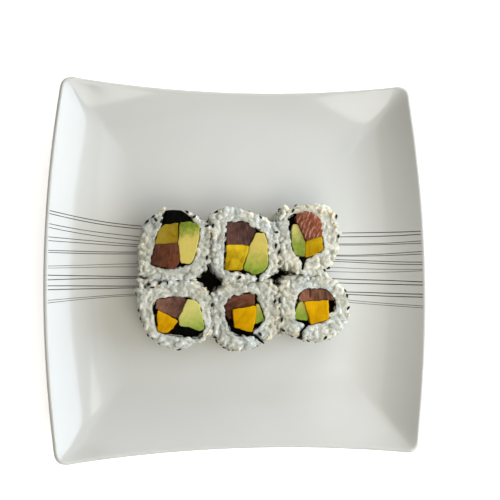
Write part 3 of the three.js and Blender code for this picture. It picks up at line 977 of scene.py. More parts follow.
def tuna_material(k):
    dark, light, line = (colour(*value) for value in TUNA_COLOURS[k][:3])
    material, tree, shader = new_material(
        f"tuna_{k}_flesh", Specular_IOR_Level=0.1, Roughness=0.34, Subsurface_Weight=0.35,
        Subsurface_Scale=1.2 * MM, Subsurface_Radius=(1, 0.35, 0.25),
    )
    share = share_across(tree, "tuna", k, TUNA_COLOURS[k][3])
    flesh = mix_colours(tree, patchy(tree, share, 260, 0.7), dark, light)
    fibres_per_metre, strength = MARBLED if k == 3 else PLAIN
    turn = (0, 0, -math.radians(FIBRE_TURN[k]))
    fibre = use_group(
        tree, STREAKS, Turn=turn, Streaks_per_metre=fibres_per_metre, Length=7, Share_covered=0.24
    )
    thin = calculate(tree, "MULTIPLY", fibre.outputs["Streak"], strength)
    set_finish(tree, shader, mix_colours(tree, thin, flesh, line))
    add_bump(tree, shader, fibre.outputs["Height"], FLESH_BUMP)
    return material


def mango_material(k):
    crease_shade, bright, turn = MANGO_COLOURS[k]
    material, tree, shader = new_material(
        f"mango_{k}_flesh", Specular_IOR_Level=0.03, Roughness=0.24, Subsurface_Weight=0.3,
        Subsurface_Scale=1.5 * MM, Subsurface_Radius=(1, 0.6, 0.15),
    )
    share = share_across(tree, "mango", k, turn)
    base = mix_colours(tree, patchy(tree, share, 200, 0.8), colour(*crease_shade), colour(*bright))
    threads = use_group(tree, STREAKS, Turn=(0, 0, -math.radians(turn)), Streaks_per_metre=420, Length=6)
    faded = calculate(tree, "MULTIPLY", threads.outputs["Streak"], 0.22)
    set_finish(tree, shader, mix_colours(tree, faded, base, scaled(colour(*bright), 1.3)))
    add_bump(tree, shader, threads.outputs["Height"], FLESH_BUMP)
    return material


def avocado_material(k):
    skin_side, stone_side, turn, (first, last) = AVOCADO_COLOURS[k]
    material, tree, shader = new_material(
        f"avocado_{k}_flesh", Specular_IOR_Level=0.12, Roughness=0.38, Subsurface_Weight=0.3,
        Subsurface_Scale=1.5 * MM, Subsurface_Radius=(0.8, 1, 0.3),
    )
    share = share_across(tree, "avocado", k, turn)
    ripe = remap(tree, patchy(tree, share, 330, 0.16), start=first, end=last)
    ripening = mix_colours(tree, ripe, colour(*stone_side), colour(*skin_side))
    rind = remap(tree, share, start=0.84, high=0.5)
    greener = scaled(colour(*skin_side), 0.55)
    base = mix_colours(tree, rind, ripening, greener)
    clouds = use_group(tree, CLOUDY, Patches_per_metre=420)
    faded = calculate(tree, "MULTIPLY", clouds.outputs["Cloud"], 0.3)
    mixed = mix_colours(tree, faded, base, scaled(colour(*stone_side), 1.15, 0.01))
    flecks = use_group(
        tree, STREAKS, Turn=(0, 0, math.radians(turn)), Streaks_per_metre=800, Length=1.6, Share_covered=0.14
    )
    fleck = calculate(tree, "MULTIPLY", flecks.outputs["Streak"], 0.2)
    set_finish(tree, shader, mix_colours(tree, fleck, mixed, greener))
    add_bump(tree, shader, clouds.outputs["Cloud"], 0.1 * MM)
    return material


FLESH = {"tuna": tuna_material, "mango": mango_material, "avocado": avocado_material}
for (kind, k), (corners, faces) in filling_shapes.items():
    make_piece(f"{kind}_bar_{k}", corners, faces, FLESH[kind](k), kind, [BARS[kind, k]])
print("filling materials:", len([m for m in bpy.data.materials if m.name.endswith("flesh")]))

# %% [markdown]
# Nori is a paper-thin sheet of dried seaweed that has gone limp from the damp rice. It wraps the
# fillings once, and where they leave room it sinks in folds. The sheet is made as a wall that follows
# the ring of the solid, with a wavy upper edge, and the folds as a crumpled net between the fillings,
# some millimetres down. Where the solid has a loose end that runs out through the rice, so has the sheet.
# On three pieces a face of it lies folded over on the rice, which is a thin slab at the height of the cut.

# %% Shape the nori
WALL_THICKNESS = 0.38 * MM
WALL_SPACING = 0.6 * MM
WALL_ROWS = (1, 0.985, 0.93, 0.75, 0.4, 0)
WALL_GAP = 0.05 * MM
WALL_EDGE_DROP = 0.15 * MM
# The top of the wall reads its drift this many millimetres further on than its foot.
DRIFT_STEP = 9
# How the sheet's parts wave: depth, size, first seed and, for the crumpled ones, octaves.
EDGE_WAVE = (0.2 * MM, 3 * MM, 60)
WALL_DRIFT = (0.1 * MM, 5 * MM, 70)
FOLD_CRUMPLE = (0.9 * MM, 4 * MM, 80, 3)
TAIL_WAVE = (0.3 * MM, 2.5 * MM, 90)
FLAP_CRUMPLE = (0.45 * MM, 3.5 * MM, 96, 3)
FOLD_DEPTHS = {1: 1.7 * MM, 2: 4 * MM, 3: 3.5 * MM, 4: 4 * MM, 5: 4.5 * MM, 6: 4.5 * MM}
FOLD_SPACING = 0.7 * MM
TAIL_DROP = 1 * MM
TAIL_EDGE_DROP = 0.15 * MM
TAIL_THINNING = 0.2 * MM


def tight_loop(points):
    """The shortest loop round some points. It turns left all the way."""
    ordered = sorted(map(tuple, points))
    loop = []
    for run in (ordered, ordered[::-1]):
        half = []
        for x, y in run:
            while len(half) > 1:
                (x0, y0), (x1, y1) = half[-2:]
                if (x1 - x0) * (y - y0) - (y1 - y0) * (x - x0) > 0:
                    break
                half.pop()
            half.append((x, y))
        loop += half[:-1]
    return np.array(loop)


def nori_wall(k):
    """The sheet on edge round the fillings: down its outer face and up its inner face."""
    wrapped = [nori_loops[k][1]] + [bar_loops[kind, k] for kind in FILLINGS]
    line = even_loop(tight_loop(np.vstack(wrapped)), WALL_SPACING)
    line = grown(line, WALL_THICKNESS / 2 + WALL_GAP)
    out = grown(line, 1) - line
    edge = cut_height[k] - WALL_EDGE_DROP + relief(line, k, *EDGE_WAVE)
    rings = []
    for side, shares in ((1, WALL_ROWS), (-1, WALL_ROWS[::-1])):
        for share in shares:
            drift = relief(line + share * DRIFT_STEP * MM, k, *WALL_DRIFT)
            ring = line + out * (drift + side * WALL_THICKNESS / 2)[:, None]
            rings.append(np.column_stack([ring, FLOOR + (edge - FLOOR) * share]))
    return wrap_tube(rings)


def wrap_tube(rings):
    """Corners and faces of a surface through rings, with the last ring joined to the first."""
    count = len(rings[0])
    faces = []
    for this, that in round_trip(len(rings)):
        faces += strip(this * count, that * count, count)
    return np.vstack(rings), faces


def nori_fold(k):
    """The folded sheet between the fillings."""
    holes = [filling_loops[kind, k] for kind in FILLINGS]

    def heights(points):
        return cut_height[k] - FOLD_DEPTHS[k] + relief(points, k, *FOLD_CRUMPLE)

    return standing_slab(nori_loops[k][1], holes, FLOOR, heights, FOLD_SPACING)


# Three pieces show a face of nori that lies folded on the rice: broad on the first, and a small wedge
# where the loose end starts on the third and the fifth. Their corners are spots of the picture.
FLAPS = {
    1: (
        (164, 223.5), (165.5, 219), (164.5, 216), (166, 213), (165, 210.5), (172, 209.8), (181, 210.2),
        (186, 213.5), (190.5, 218.5), (194, 222), (188, 221.8), (178, 222.2), (171, 222.8),
    ),
    3: (
        (298.5, 257), (303, 257.6), (308, 257.2), (311, 256.6), (308.5, 259), (305.5, 261), (303.8, 264),
        (302.6, 264), (301.5, 261), (299.5, 259),
    ),
    5: (
        (247, 333), (251.5, 331), (254.5, 333.5), (258.5, 337), (262, 341), (261, 342.3), (257, 339.3),
        (253, 336.8), (248.5, 335.5),
    ),
}
FLAP_DROP = 0.1 * MM
FLAP_THICKNESS = 1.5 * MM
FLAP_RADIUS = 0.4 * MM
THIN_ROWS = (0.3 * MM,)


def flap_loop(k):
    return spots_loop(FLAPS[k], cut_height[k] - FLAP_DROP)


def nori_flap(k):
    """The face of nori that lies on a piece's rice, or nothing where none shows."""
    if k not in FLAPS:
        return None
    loop = flap_loop(k)
    top = cut_height[k] - FLAP_DROP

    def heights(points):
        return top + relief(points, k, *FLAP_CRUMPLE) - edge_drop(points, loop, FLAP_RADIUS)

    return standing_slab(loop, [], top - FLAP_THICKNESS, heights, FOLD_SPACING, THIN_ROWS)


tail_loops = {k: loops_at(f"nori_{k}", cut_height[k] - TAIL_DROP)[:1] for k in PIECES}


def nori_tail(k):
    """The sheet's loose end, or nothing where the solid has none."""
    if not tail_loops[k]:
        return None

    def heights(points):
        return cut_height[k] - TAIL_EDGE_DROP + relief(points, k, *TAIL_WAVE)

    return standing_slab(grown(tail_loops[k][0], -TAIL_THINNING), [], FLOOR, heights, FOLD_SPACING)


def nori_material(name, light, dark):
    material, tree, shader = new_material(name, Roughness=0.6, Specular_IOR_Level=0.03)
    sheet = use_group(tree, CLOUDY, Light=light, Dark=dark, Patches_per_metre=700, Contrast=1.3)
    damp = remap(tree, sheet.outputs["Cloud"], low=0.45, high=0.75)
    set_finish(tree, shader, sheet.outputs["Colour"], damp)
    fibres = use_group(tree, STREAKS, Streaks_per_metre=1500, Length=2, Share_covered=0.4)
    add_bump(tree, shader, fibres.outputs["Height"], 0.25 * MM)
    return material


NORI = nori_material("nori_sheet", colour(11, 11, 8), colour(2, 2, 2))
for k in PIECES:
    parts = [part for part in (nori_wall(k), nori_fold(k), nori_tail(k), nori_flap(k)) if part]
    make_piece(f"nori_sheet_{k}", *joined(parts), NORI, "nori", [f"nori_{k}"])
    print("nori", k, "has", len(parts), "parts")

# %% Lay dark sheets in the gaps between pieces, as painted shade
GAP_SHADE_SPACING = 0.9 * MM
GAP_SHADE_LIFT = 0.05 * MM
GAP_SHADE_WAVE = (0.5 * MM, 5 * MM, 0)


def gap_shade_shape(number):
    node = f"nori_scrap_{number}"
    top = top_of(node)

    def heights(points):
        return top + relief(points, number, *GAP_SHADE_WAVE)

    return standing_slab(loops_at(node, top)[0], [], FLOOR + GAP_SHADE_LIFT, heights, GAP_SHADE_SPACING, THIN_ROWS)


# Painted shade: these dark sheets stand where the gaps between the pieces lie in deep shade.
GAP_SHADE_MATERIAL = nori_material("damp_nori", colour(46, 43, 28), colour(24, 23, 14))
for number in (1, 2):
    make_piece(f"gap_shade_sheet_{number}", *gap_shade_shape(number), GAP_SHADE_MATERIAL, "nori", [f"nori_scrap_{number}"])
print("scraps of nori: 2")

# %% [markdown]
# Sushi rice is whole grains pressed until they stick. Two things make it look real: every grain has its
# own place and turn, and grains melt into their neighbours where they touch. Loose grains alone would
# look like dry rice. So the ring of the solid is drawn in by about a millimetre to make a core, whole
# grains are set all over it, each sunk for half its depth, and a voxel remesh turns core and grains into
# one skin with soft creases. Grains lie flat on the outside, where the mat pressed them, and at any angle
# on the cut face, where the knife went through. Some have a place of their own: a row along the sheet of
# nori, pressed against it, and some in the corners and seams where pieces push on each other. At last
# all that stands above the cut is pressed down, because a knife leaves a nearly level face.

# %% Helpers for the rice
CORE_VOXEL = 0.8 * MM
CORE_SHRINK = 1.2 * MM
CUT_SHRINK = 0.65 * MM
CUT_PRESSED = 0.7
SKIN_VOXEL = 0.38 * MM
KEPT_FACES = 0.57
SMOOTHING, SMOOTHING_ROUNDS = 0.5, 3
RICE_SEED, TONE_SEED = 500, 600
GRAIN_HALF = np.array([2.9, 1.45, 1.35]) * MM
GRAIN_SPREAD = 0.14
FORM_SIDES = 10
GRAIN_RINGS = 8
GRAIN_TIP = 0.12
GRAIN_BLUNTNESS = 0.75
GRAIN_BEND = 0.16
# Each layer of grains has its own spacing, and how far its grains stand out of the solid's skin.
LAYERS = ((2.3 * MM, -0.5 * MM), (3.9 * MM, 0.3 * MM))
PROUD_SPREAD = 0.3 * MM
ALIGNED_WITHIN = 2.2 * MM
HOLE_GROWTH = 0.62 * MM
NORI_CLEARANCE = 0.95 * MM
TAIL_CLEARANCE = 0.1 * MM
FLAP_CLEARANCE = 1.1 * MM
# Grains laid along the sheet: how far their middles are from it, how far apart, how much they stray, and
# how much of that may be downwards.
RIM_OFFSET = 0.65 * MM
RIM_SPACING = 3.3 * MM
RIM_STRAY = 0.55 * MM
RIM_DIP = 0.3
EDGE_CLEARANCE = 1.05 * MM
# How far grains lean and turn, in degrees. Those on the cut face lean more than those on the sides.
SIDE_LEAN, CUT_LEAN = 10, 24
RIM_TURN, RIM_LEAN, CORNER_LEAN, SEAM_LEAN = 38, 12, 25, 15
# How strongly grains near the sheet line up with it.
ALIGNMENT = 3
# Grains go on the outer and upper parts of the core that are not too close to the plate.
USABLE_FACING = 0.45
LOWEST_GRAIN = 1.5 * MM
# The core's walls round the sheet are those that face inwards and lie within about this of it.
INNER_FACING = 0.3
INNER_REACH = 0.8 * MM
INNER_FULL = 1.4


def remeshed(name, corners, faces, voxel, kept=1):
    """The outer skin of overlapping closed shapes, as an even net that keeps a share of its faces."""
    mesh = new_mesh(name, corners, faces)
    holder = new_object(name, mesh)
    skin_of = holder.modifiers.new("skin", "REMESH")
    skin_of.mode = "VOXEL"
    skin_of.voxel_size = voxel
    soften = holder.modifiers.new("soften", "SMOOTH")
    soften.factor = SMOOTHING
    soften.iterations = SMOOTHING_ROUNDS
    if kept < 1:
        thin_out = holder.modifiers.new("thin_out", "DECIMATE")
        thin_out.ratio = kept
    depsgraph = bpy.context.evaluated_depsgraph_get()
    result = bpy.data.meshes.new_from_object(holder.evaluated_get(depsgraph))
    bpy.data.objects.remove(holder)
    bpy.data.meshes.remove(mesh)
    return result


def corners_and_normals(mesh):
    corners, normals = np.empty((2, len(mesh.vertices) * 3))
    mesh.vertices.foreach_get("co", corners)
    mesh.vertices.foreach_get("normal", normals)
    return corners.reshape(-1, 3), normals.reshape(-1, 3)


def facing_out(k, corners, normals):
    """How much each normal points away from the middle of a piece."""
    return (normals[:, :2] * unit(corners[:, :2] - centres[k])).sum(1)


def ring_along(x, width, drop=0):
    """A ring of points round a form's length, at a place along it."""
    around = np.linspace(0, 2 * math.pi, FORM_SIDES, endpoint=False)
    return np.column_stack([np.full(FORM_SIDES, x), width * np.cos(around), width * np.sin(around) - drop])


def grain_form():
    """Half a unit long each way: a plump grain with blunt ends and a slight bend."""
    stack = []
    for angle in np.linspace(GRAIN_TIP, math.pi - GRAIN_TIP, GRAIN_RINGS):
        x = math.cos(angle)
        stack.append(ring_along(x, math.sin(angle) ** GRAIN_BLUNTNESS, GRAIN_BEND * x * x))
    return wrap_rings(stack)


def spread_copies(form, places, axes):
    """Copies of a form at many places at once. axes holds three half-size directions for each."""
    corners, faces = form
    moved = np.einsum("vi,gij->gvj", corners, axes) + places[:, None]
    starts = range(0, len(places) * len(corners), len(corners))
    return moved.reshape(-1, 3), [tuple(start + i for i in face) for start in starts for face in faces]


def spaced_out(points, spacing, random):
    """Numbers of points, drawn in random order, that keep a spacing from each other."""
    cells, chosen = {}, []
    keys = np.floor(points / spacing).astype(int)
    steps = list(product((-1, 0, 1), repeat=3))
    for number in random.permutation(len(points)):
        x, y, z = keys[number]
        near = [other for dx, dy, dz in steps for other in cells.get((x + dx, y + dy, z + dz), ())]
        if all(((points[number] - points[other]) ** 2).sum() > spacing**2 for other in near):
            cells.setdefault((x, y, z), []).append(number)
            chosen.append(number)
    return np.array(chosen)


def across(normals, random):
    """A random direction at right angles to each normal."""
    return along_surface(random.normal(size=normals.shape), normals)


def grain_sizes(count, random):
    """Half-sizes of grains, each a little different."""
    return GRAIN_HALF * (1 + GRAIN_SPREAD * random.uniform(-1, 1, (count, 3)))


def leaning_axes(flat, up, leans, sizes):
    """Half-size directions of grains that lie along flat and lean, in radians, towards up."""
    long_axis = flat * np.cos(leans)[:, None] + up * np.sin(leans)[:, None]
    short_axis = up * np.cos(leans)[:, None] - flat * np.sin(leans)[:, None]
    return np.stack([long_axis, np.cross(short_axis, long_axis), short_axis], axis=1) * sizes[:, :, None]


def level_axes(turns, leans, sizes):
    """The same for grains that lie level but for the lean. Turns are in radians too."""
    flat = np.column_stack([np.cos(turns), np.sin(turns), np.zeros(len(turns))])
    return leaning_axes(flat, np.array([0, 0, 1]), leans, sizes)


GRAIN = grain_form()
print("a grain has", len(GRAIN[0]), "corners and is", (2 * GRAIN_HALF / MM).round(1), "mm")

# %% [markdown]
# Neighbouring pieces are pressed together, so where they touch the rice has no rounded shoulder: it
# closes up at the height of the cut. The core is raised there before the grains go on.

# %% Shape the core of the rice
SHOULDER = 2.6 * MM
PRESSED_WITHIN = (2.6 * MM, 4.6 * MM)
PRESSED_DROP = 0.5 * MM

solid_trees = {}
for k in PIECES:
    solid_corners, solid_triangles = solid_faces(f"rice_{k}")
    solid_trees[k] = BVHTree.FromPolygons(solid_corners.tolist(), solid_triangles.tolist())


def press_shoulders(k, corners):
    """Heights of the core's corners, raised towards the cut where another piece is close."""
    reach = PRESSED_WITHIN[1]
    height = corners[:, 2].copy()
    for number in np.flatnonzero(height > cut_height[k] - 2 * SHOULDER):
        x, y, z = corners[number]
        level = Vector((x, y, cut_height[k] - 3 * SHOULDER))
        found = [solid_trees[other].find_nearest(level, reach)[3] for other in PIECES if other != k]
        nearest = min([distance for distance in found if distance is not None], default=reach)
        pressed = np.clip((reach - nearest) / (reach - PRESSED_WITHIN[0]), 0, 1)
        upper = np.clip((z - cut_height[k]) / SHOULDER + 2, 0, 1)
        height[number] += pressed * upper * max(0, cut_height[k] - PRESSED_DROP - z)
    return height


def rice_core(k):
    """The solid's ring as an even net: its corners, its normals, and how much each faces out or up."""
    mesh = remeshed("core", *solid_faces(f"rice_{k}"), CORE_VOXEL)
    corners, _ = corners_and_normals(mesh)
    corners[:, 2] = press_shoulders(k, corners)
    mesh.vertices.foreach_set("co", corners.ravel())
    mesh.update()
    corners, normals = corners_and_normals(mesh)
    faces = [tuple(p.vertices) for p in mesh.polygons]
    bpy.data.meshes.remove(mesh)
    facing = np.clip(facing_out(k, corners, normals), 0, 1) + np.clip(normals[:, 2], 0, 1)
    return corners, normals, faces, np.clip(facing, 0, 1)


print("solids to press against:", len(solid_trees))

# %% Grow the rice
# A loose grain has fallen into the hollow of the sixth piece: column, row and turn in the picture.
LOOSE_GRAINS = {6: ((331.5, 314.5, 20),)}
LOOSE_DEPTH = 0.9 * MM
# Where pieces press on each other their corners fill out. Each spot is a column and a row of the picture.
CORNER_SPOTS = {
    1: ((141, 268), (142, 273), (146, 275), (151, 277), (199, 272), (204, 266)),
    2: ((272, 267), (275, 263), (275, 270), (270, 272), (266, 275), (214, 214), (213, 219)),
    3: ((283, 212), (286, 208), (282, 217), (280, 223), (282, 262), (286, 266)),
    4: ((140, 281), (142, 286), (146, 281), (151, 281), (139, 291), (204, 292), (200, 287)),
    5: ((270, 283), (274, 287), (266, 281), (275, 293), (275, 330), (270, 335), (262, 281)),
    6: ((284, 281), (288, 278), (292, 277), (282, 287), (287, 284), (281, 325), (283, 331)),
}
# Where pieces touch, some grains lie across the seam and rest on both.
SEAM_SPOTS = {
    1: ((155, 277), (161, 278.5), (167, 277), (174, 279), (181, 277.5), (188, 278), (194, 277), (208, 243),
        (208.5, 250), (209, 257), (208, 262)),
    2: ((226, 279), (233, 280.5), (241, 279), (249, 281), (256, 280), (262, 279), (208, 228), (279, 236),
        (279.5, 246)),
    3: ((280, 228), (281, 258), (304, 273), (311, 275), (318, 273.5), (325, 275)),
    4: ((158, 281), (171, 281), (185, 281), (211, 299), (212, 307), (211.5, 316), (212, 324), (210.5, 332)),
    5: ((211, 303), (211, 312), (212, 320), (277, 300), (277.5, 312), (229, 282), (245, 282.5)),
    6: ((277.5, 296), (277, 306), (277.5, 318), (278, 326), (307, 276), (321, 276.5)),
}
SEAM_DEPTH = 1.5 * MM
CORNER_DROP = 1.6 * MM
CORNER_STRAY = 0.45 * MM
COLUMN_STEP = 2.4 * MM


def clear_of_nori(k, points):
    """Points that leave room for the sheet and its loose end."""
    ring = nori_loops[k][0]
    free = ~is_inside(points, ring) & (distance_to(points, ring) > NORI_CLEARANCE)
    return free & clear_of_ends(k, points)


def clear_of_ends(k, points):
    """Points that leave room for the sheet's loose end, and for a face of it that lies on the rice."""
    free = np.full(len(points), True)
    for tail in tail_loops[k]:
        free &= ~is_inside(points, tail) & (distance_to(points, tail) > TAIL_CLEARANCE)
    if k in FLAPS:
        flap = flap_loop(k)
        free &= ~is_inside(points, flap) & (distance_to(points, flap) > FLAP_CLEARANCE)
    return free


def lay_grains(k, corners, normals, spacing, proud, random):
    """Places and axes of one layer of grains on one piece."""
    chosen = spaced_out(corners, spacing, random)
    corners, normals = corners[chosen], normals[chosen]
    count = len(chosen)
    sizes = grain_sizes(count, random)
    cut = np.clip(normals[:, 2], 0, 1)
    leans = np.radians(random.uniform(-1, 1, count) * (SIDE_LEAN + CUT_LEAN * cut))
    free = across(normals, random)
    x, y = (corners[:, :2] - centres[k]).T
    along_sheet = unit(np.column_stack([-y, x, np.zeros(count)]))
    gap = distance_to(corners[:, :2], nori_loops[k][0]) - NORI_CLEARANCE
    aligned = ALIGNMENT * np.clip(1 - gap / ALIGNED_WITHIN, 0, 1)[:, None] * along_sheet
    axes = leaning_axes(along_surface(free + aligned, normals), normals, leans, sizes)
    reach = np.linalg.norm((axes * normals[:, None]).sum(2), axis=1)
    stands = proud + PROUD_SPREAD * random.uniform(-1, 1, count)
    places = corners + normals * (stands - reach)[:, None]
    low, high = (np.array(corner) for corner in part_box(f"rice_{k}"))
    places[:, :2] = np.clip(places[:, :2], low[:2] + EDGE_CLEARANCE, high[:2] - EDGE_CLEARANCE)
    return places, axes


def strayed(places, most_lean, random):
    """Places a little out of true, with axes of grains that are turned any way there."""
    count = len(places)
    places = places + CORNER_STRAY * random.uniform(-1, 1, places.shape)
    sizes = grain_sizes(count, random)
    turns = random.uniform(0, math.pi, count)
    return places, level_axes(turns, np.radians(random.uniform(-most_lean, most_lean, count)), sizes)


def seam_grains(k, random):
    """Places and axes of grains that lie across the seams to the neighbours."""
    places = np.array([at_height(x, y, cut_height[k] - SEAM_DEPTH) for x, y in SEAM_SPOTS[k]])
    return strayed(places, SEAM_LEAN, random)


def loose_grains(k):
    """Places and axes of grains that lie on their own just below the cut."""
    places, axes = [], []
    for x, y, turn in LOOSE_GRAINS.get(k, ()):
        places.append(np.array(at_height(x, y, cut_height[k] - LOOSE_DEPTH)))
        axes.append(np.array(Matrix.Rotation(math.radians(turn), 3, "Z")).T * GRAIN_HALF[:, None])
    return np.array(places).reshape(-1, 3), np.array(axes).reshape(-1, 3, 3)


def rim_grains(k, random):
    """Places and axes of the grains that lie along the sheet, pressed against it."""
    line = even_loop(grown(nori_loops[k][0], RIM_OFFSET), RIM_SPACING)
    ahead = np.roll(line, -1, axis=0) - np.roll(line, 1, axis=0)
    count = len(line)
    turns = np.arctan2(ahead[:, 1], ahead[:, 0]) + np.radians(random.uniform(-RIM_TURN, RIM_TURN, count))
    sizes = grain_sizes(count, random)
    axes = level_axes(turns, np.radians(random.uniform(-RIM_LEAN, RIM_LEAN, count)), sizes)
    line = line + RIM_STRAY * random.uniform(-1, 1, line.shape)
    heights = cut_height[k] - sizes[:, 2] + RIM_STRAY * random.uniform(-RIM_DIP, 1, count)
    keep = clear_of_ends(k, line)
    return np.column_stack([line, heights])[keep], axes[keep]


def corner_grains(k, random):
    """Places and axes of grains that fill out a piece's corners, from just below the cut to the plate."""
    places = []
    for x, y in CORNER_SPOTS[k]:
        top = np.array(at_height(x, y, cut_height[k] - CORNER_DROP))
        rows = np.arange(top[2], FLOOR + GRAIN_HALF[2], -COLUMN_STEP)
        places += [(top[0], top[1], height) for height in rows]
    return strayed(np.array(places), CORNER_LEAN, random)


def flatten_cut(corners, height):
    """The knife leaves the cut face nearly level: what stands above it is pressed down."""
    above = np.clip(corners[:, 2] - height, 0, None)
    corners[:, 2] -= CUT_PRESSED * above
    return corners


def sticky_rice(k):
    """One piece's rice, and the places and axes of the grains that its skin runs over."""
    random = np.random.default_rng(RICE_SEED + k)
    corners, normals, faces, facing = rice_core(k)
    usable = (facing > USABLE_FACING) & (corners[:, 2] > FLOOR + LOWEST_GRAIN)
    usable &= clear_of_nori(k, corners[:, :2])
    layers = [lay_grains(k, corners[usable], normals[usable], *layer, random) for layer in LAYERS]
    layers += [rim_grains(k, random), corner_grains(k, random), seam_grains(k, random), loose_grains(k)]
    places, axes = (np.vstack(part) for part in zip(*layers))
    sheet = [nori_loops[k][0], *tail_loops[k]]
    gap = np.min([distance_to(corners[:, :2], loop) for loop in sheet], axis=0)
    inner = np.clip(INNER_FULL - gap / INNER_REACH, 0, 1) * (facing < INNER_FACING)
    up = np.clip(normals[:, 2], 0, 1)
    drawn_in = CUT_SHRINK * up + CORE_SHRINK * np.clip(facing - up, 0, 1) - HOLE_GROWTH * inner
    core = corners - normals * drawn_in[:, None]
    shapes = joined([(core, faces), spread_copies(GRAIN, places, axes)])
    mesh = remeshed(f"sticky_rice_{k}", *shapes, SKIN_VOXEL, KEPT_FACES)
    corners, _ = corners_and_normals(mesh)
    mesh.vertices.foreach_set("co", flatten_cut(corners, cut_height[k]).ravel())
    return mesh, places, axes


# %% [markdown]
# Cooked grains are not all alike: some are chalky and white, some clear and grey. A texture can't know
# where one grain ends, but the mesh can. Each corner of the skin takes the tone of the grain that it
# belongs to, and a second value says how deep in a crease it lies. Both are kept in the mesh as
# attributes, which the rice's finish reads: it paints the creases darker, as painted shade.

# %% Mark grains and creases in the rice
TONE_BLEND = 2
TONE_POWER = 1.1
# Each piece's rice is set a little greyer or whiter by its own amount.
PIECE_TONES = {1: -0.11, 2: 0.05, 3: 0.08, 4: 0, 5: -0.1, 6: 0}
CREASE_ROUNDS = 8
CREASE_DEPTH = 0.16 * MM


def grain_tones(mesh, places, axes, random):
    """For each corner, the tone from 0 to 1 of the grains whose skin is nearest."""
    surface, _ = spread_copies(GRAIN, places, axes)
    tones = np.repeat(random.random(len(places)) ** TONE_POWER, len(GRAIN[0]))
    tree = KDTree(len(surface))
    for number, point in enumerate(surface.tolist()):
        tree.insert(point, number)
    tree.balance()
    found = [[hit[1] for hit in tree.find_n(corner.co, TONE_BLEND)] for corner in mesh.vertices]
    return tones[np.array(found)].mean(1)


def crease_depths(mesh):
    """For each corner, from 0 to 1, how far it lies below an evened-out skin."""
    corners, normals = corners_and_normals(mesh)
    ends = np.empty(len(mesh.edges) * 2, dtype=int)
    mesh.edges.foreach_get("vertices", ends)
    a, b = ends.reshape(-1, 2).T
    count = np.bincount(a, minlength=len(corners)) + np.bincount(b, minlength=len(corners))
    even = corners.copy()
    for _ in range(CREASE_ROUNDS):
        total = [
            np.bincount(a, even[b, axis], len(corners)) + np.bincount(b, even[a, axis], len(corners))
            for axis in range(3)
        ]
        even = np.column_stack(total) / np.maximum(count, 1)[:, None]
    return np.clip(((even - corners) * normals).sum(1) / CREASE_DEPTH, 0, 1)


def mark(mesh, name, values):
    mesh.attributes.new(name, "FLOAT", "POINT").data.foreach_set("value", values)


def rice_material():
    material, tree, shader = new_material(
        "sticky_rice", Roughness=0.3, IOR=1.4, Coat_Weight=0.5, Coat_Roughness=0.12,
        Subsurface_Weight=1, Subsurface_Scale=2.6 * MM, Subsurface_Radius=(1, 1, 0.85),
    )
    broad = {"Patches_per_metre": 45, "Contrast": 1.6}
    chalky = use_group(tree, CLOUDY, Light=colour(226, 230, 227), Dark=colour(228, 224, 206), **broad)
    clear = use_group(tree, CLOUDY, Light=colour(163, 169, 165), Dark=colour(172, 169, 149), **broad)
    tone = add_node(tree, "ShaderNodeAttribute", {"attribute_name": "tone"}).outputs["Fac"]
    crease = add_node(tree, "ShaderNodeAttribute", {"attribute_name": "crease"}).outputs["Fac"]
    starch = use_group(tree, CLOUDY, Patches_per_metre=700)
    uneven = calculate(tree, "MULTIPLY_ADD", starch.outputs["Cloud"], 0.5, -0.25)
    whiteness = calculate(tree, "ADD", tone, uneven)
    body = mix_colours(tree, whiteness, clear.outputs["Colour"], chalky.outputs["Colour"])
    # Painted shade: corners that lie deep in a crease are mixed towards a darker grey.
    crease_shade = calculate(tree, "MULTIPLY", crease, 0.12)
    wet = remap(tree, starch.outputs["Cloud"], low=0.2, high=0.38)
    set_finish(tree, shader, mix_colours(tree, crease_shade, body, colour(168, 166, 148)), wet)
    add_bump(tree, shader, starch.outputs["Cloud"], 0.16 * MM)
    return material


RICE = rice_material()
rice_trees = {}
for k in PIECES:
    mesh, places, axes = sticky_rice(k)
    tones = grain_tones(mesh, places, axes, np.random.default_rng(TONE_SEED + k))
    mark(mesh, "tone", PIECE_TONES[k] + tones)
    mark(mesh, "crease", crease_depths(mesh))
    finish_piece(f"sticky_rice_{k}", mesh, RICE, [f"rice_{k}"])
    rice_trees[k] = BVHTree.FromPolygons(
        [tuple(v.co) for v in mesh.vertices], [tuple(p.vertices) for p in mesh.polygons]
    )
    print("rice", k, "has", len(places), "grains on it and", len(mesh.polygons), "faces")

# %% [markdown]
# Black and toasted sesame stick to the outside of each piece. Those that show in the photograph are set
# one by one: each spot is a ray from the camera, and the seed lies on the rice that the ray meets. The
# sides, which the photograph doesn't show, get seeds by a rule: random spots with an even spacing. A seed
# is a flat drop, so it is made from rings that swell and then draw to a point.

# %% Scatter the sesame
SEED_HALF = np.array([1.65, 0.85, 0.5]) * MM
SEED_SINK = 0.15 * MM
SIDE_SPACING = 5.2 * MM
SIDE_FACING = 0.75
SIDE_FROM_PLATE = 2.5 * MM
SIDE_FROM_CUT = 6 * MM
BLACK_SHARE = 0.68
SESAME_SEED = 77
# A seed in section, from its blunt end to its point: how far along it lies, and how wide it is there.
SEED_SECTION = ((-0.97, 0.3), (-0.8, 0.72), (-0.45, 1), (0, 0.95), (0.4, 0.68), (0.75, 0.36), (0.97, 0.1))
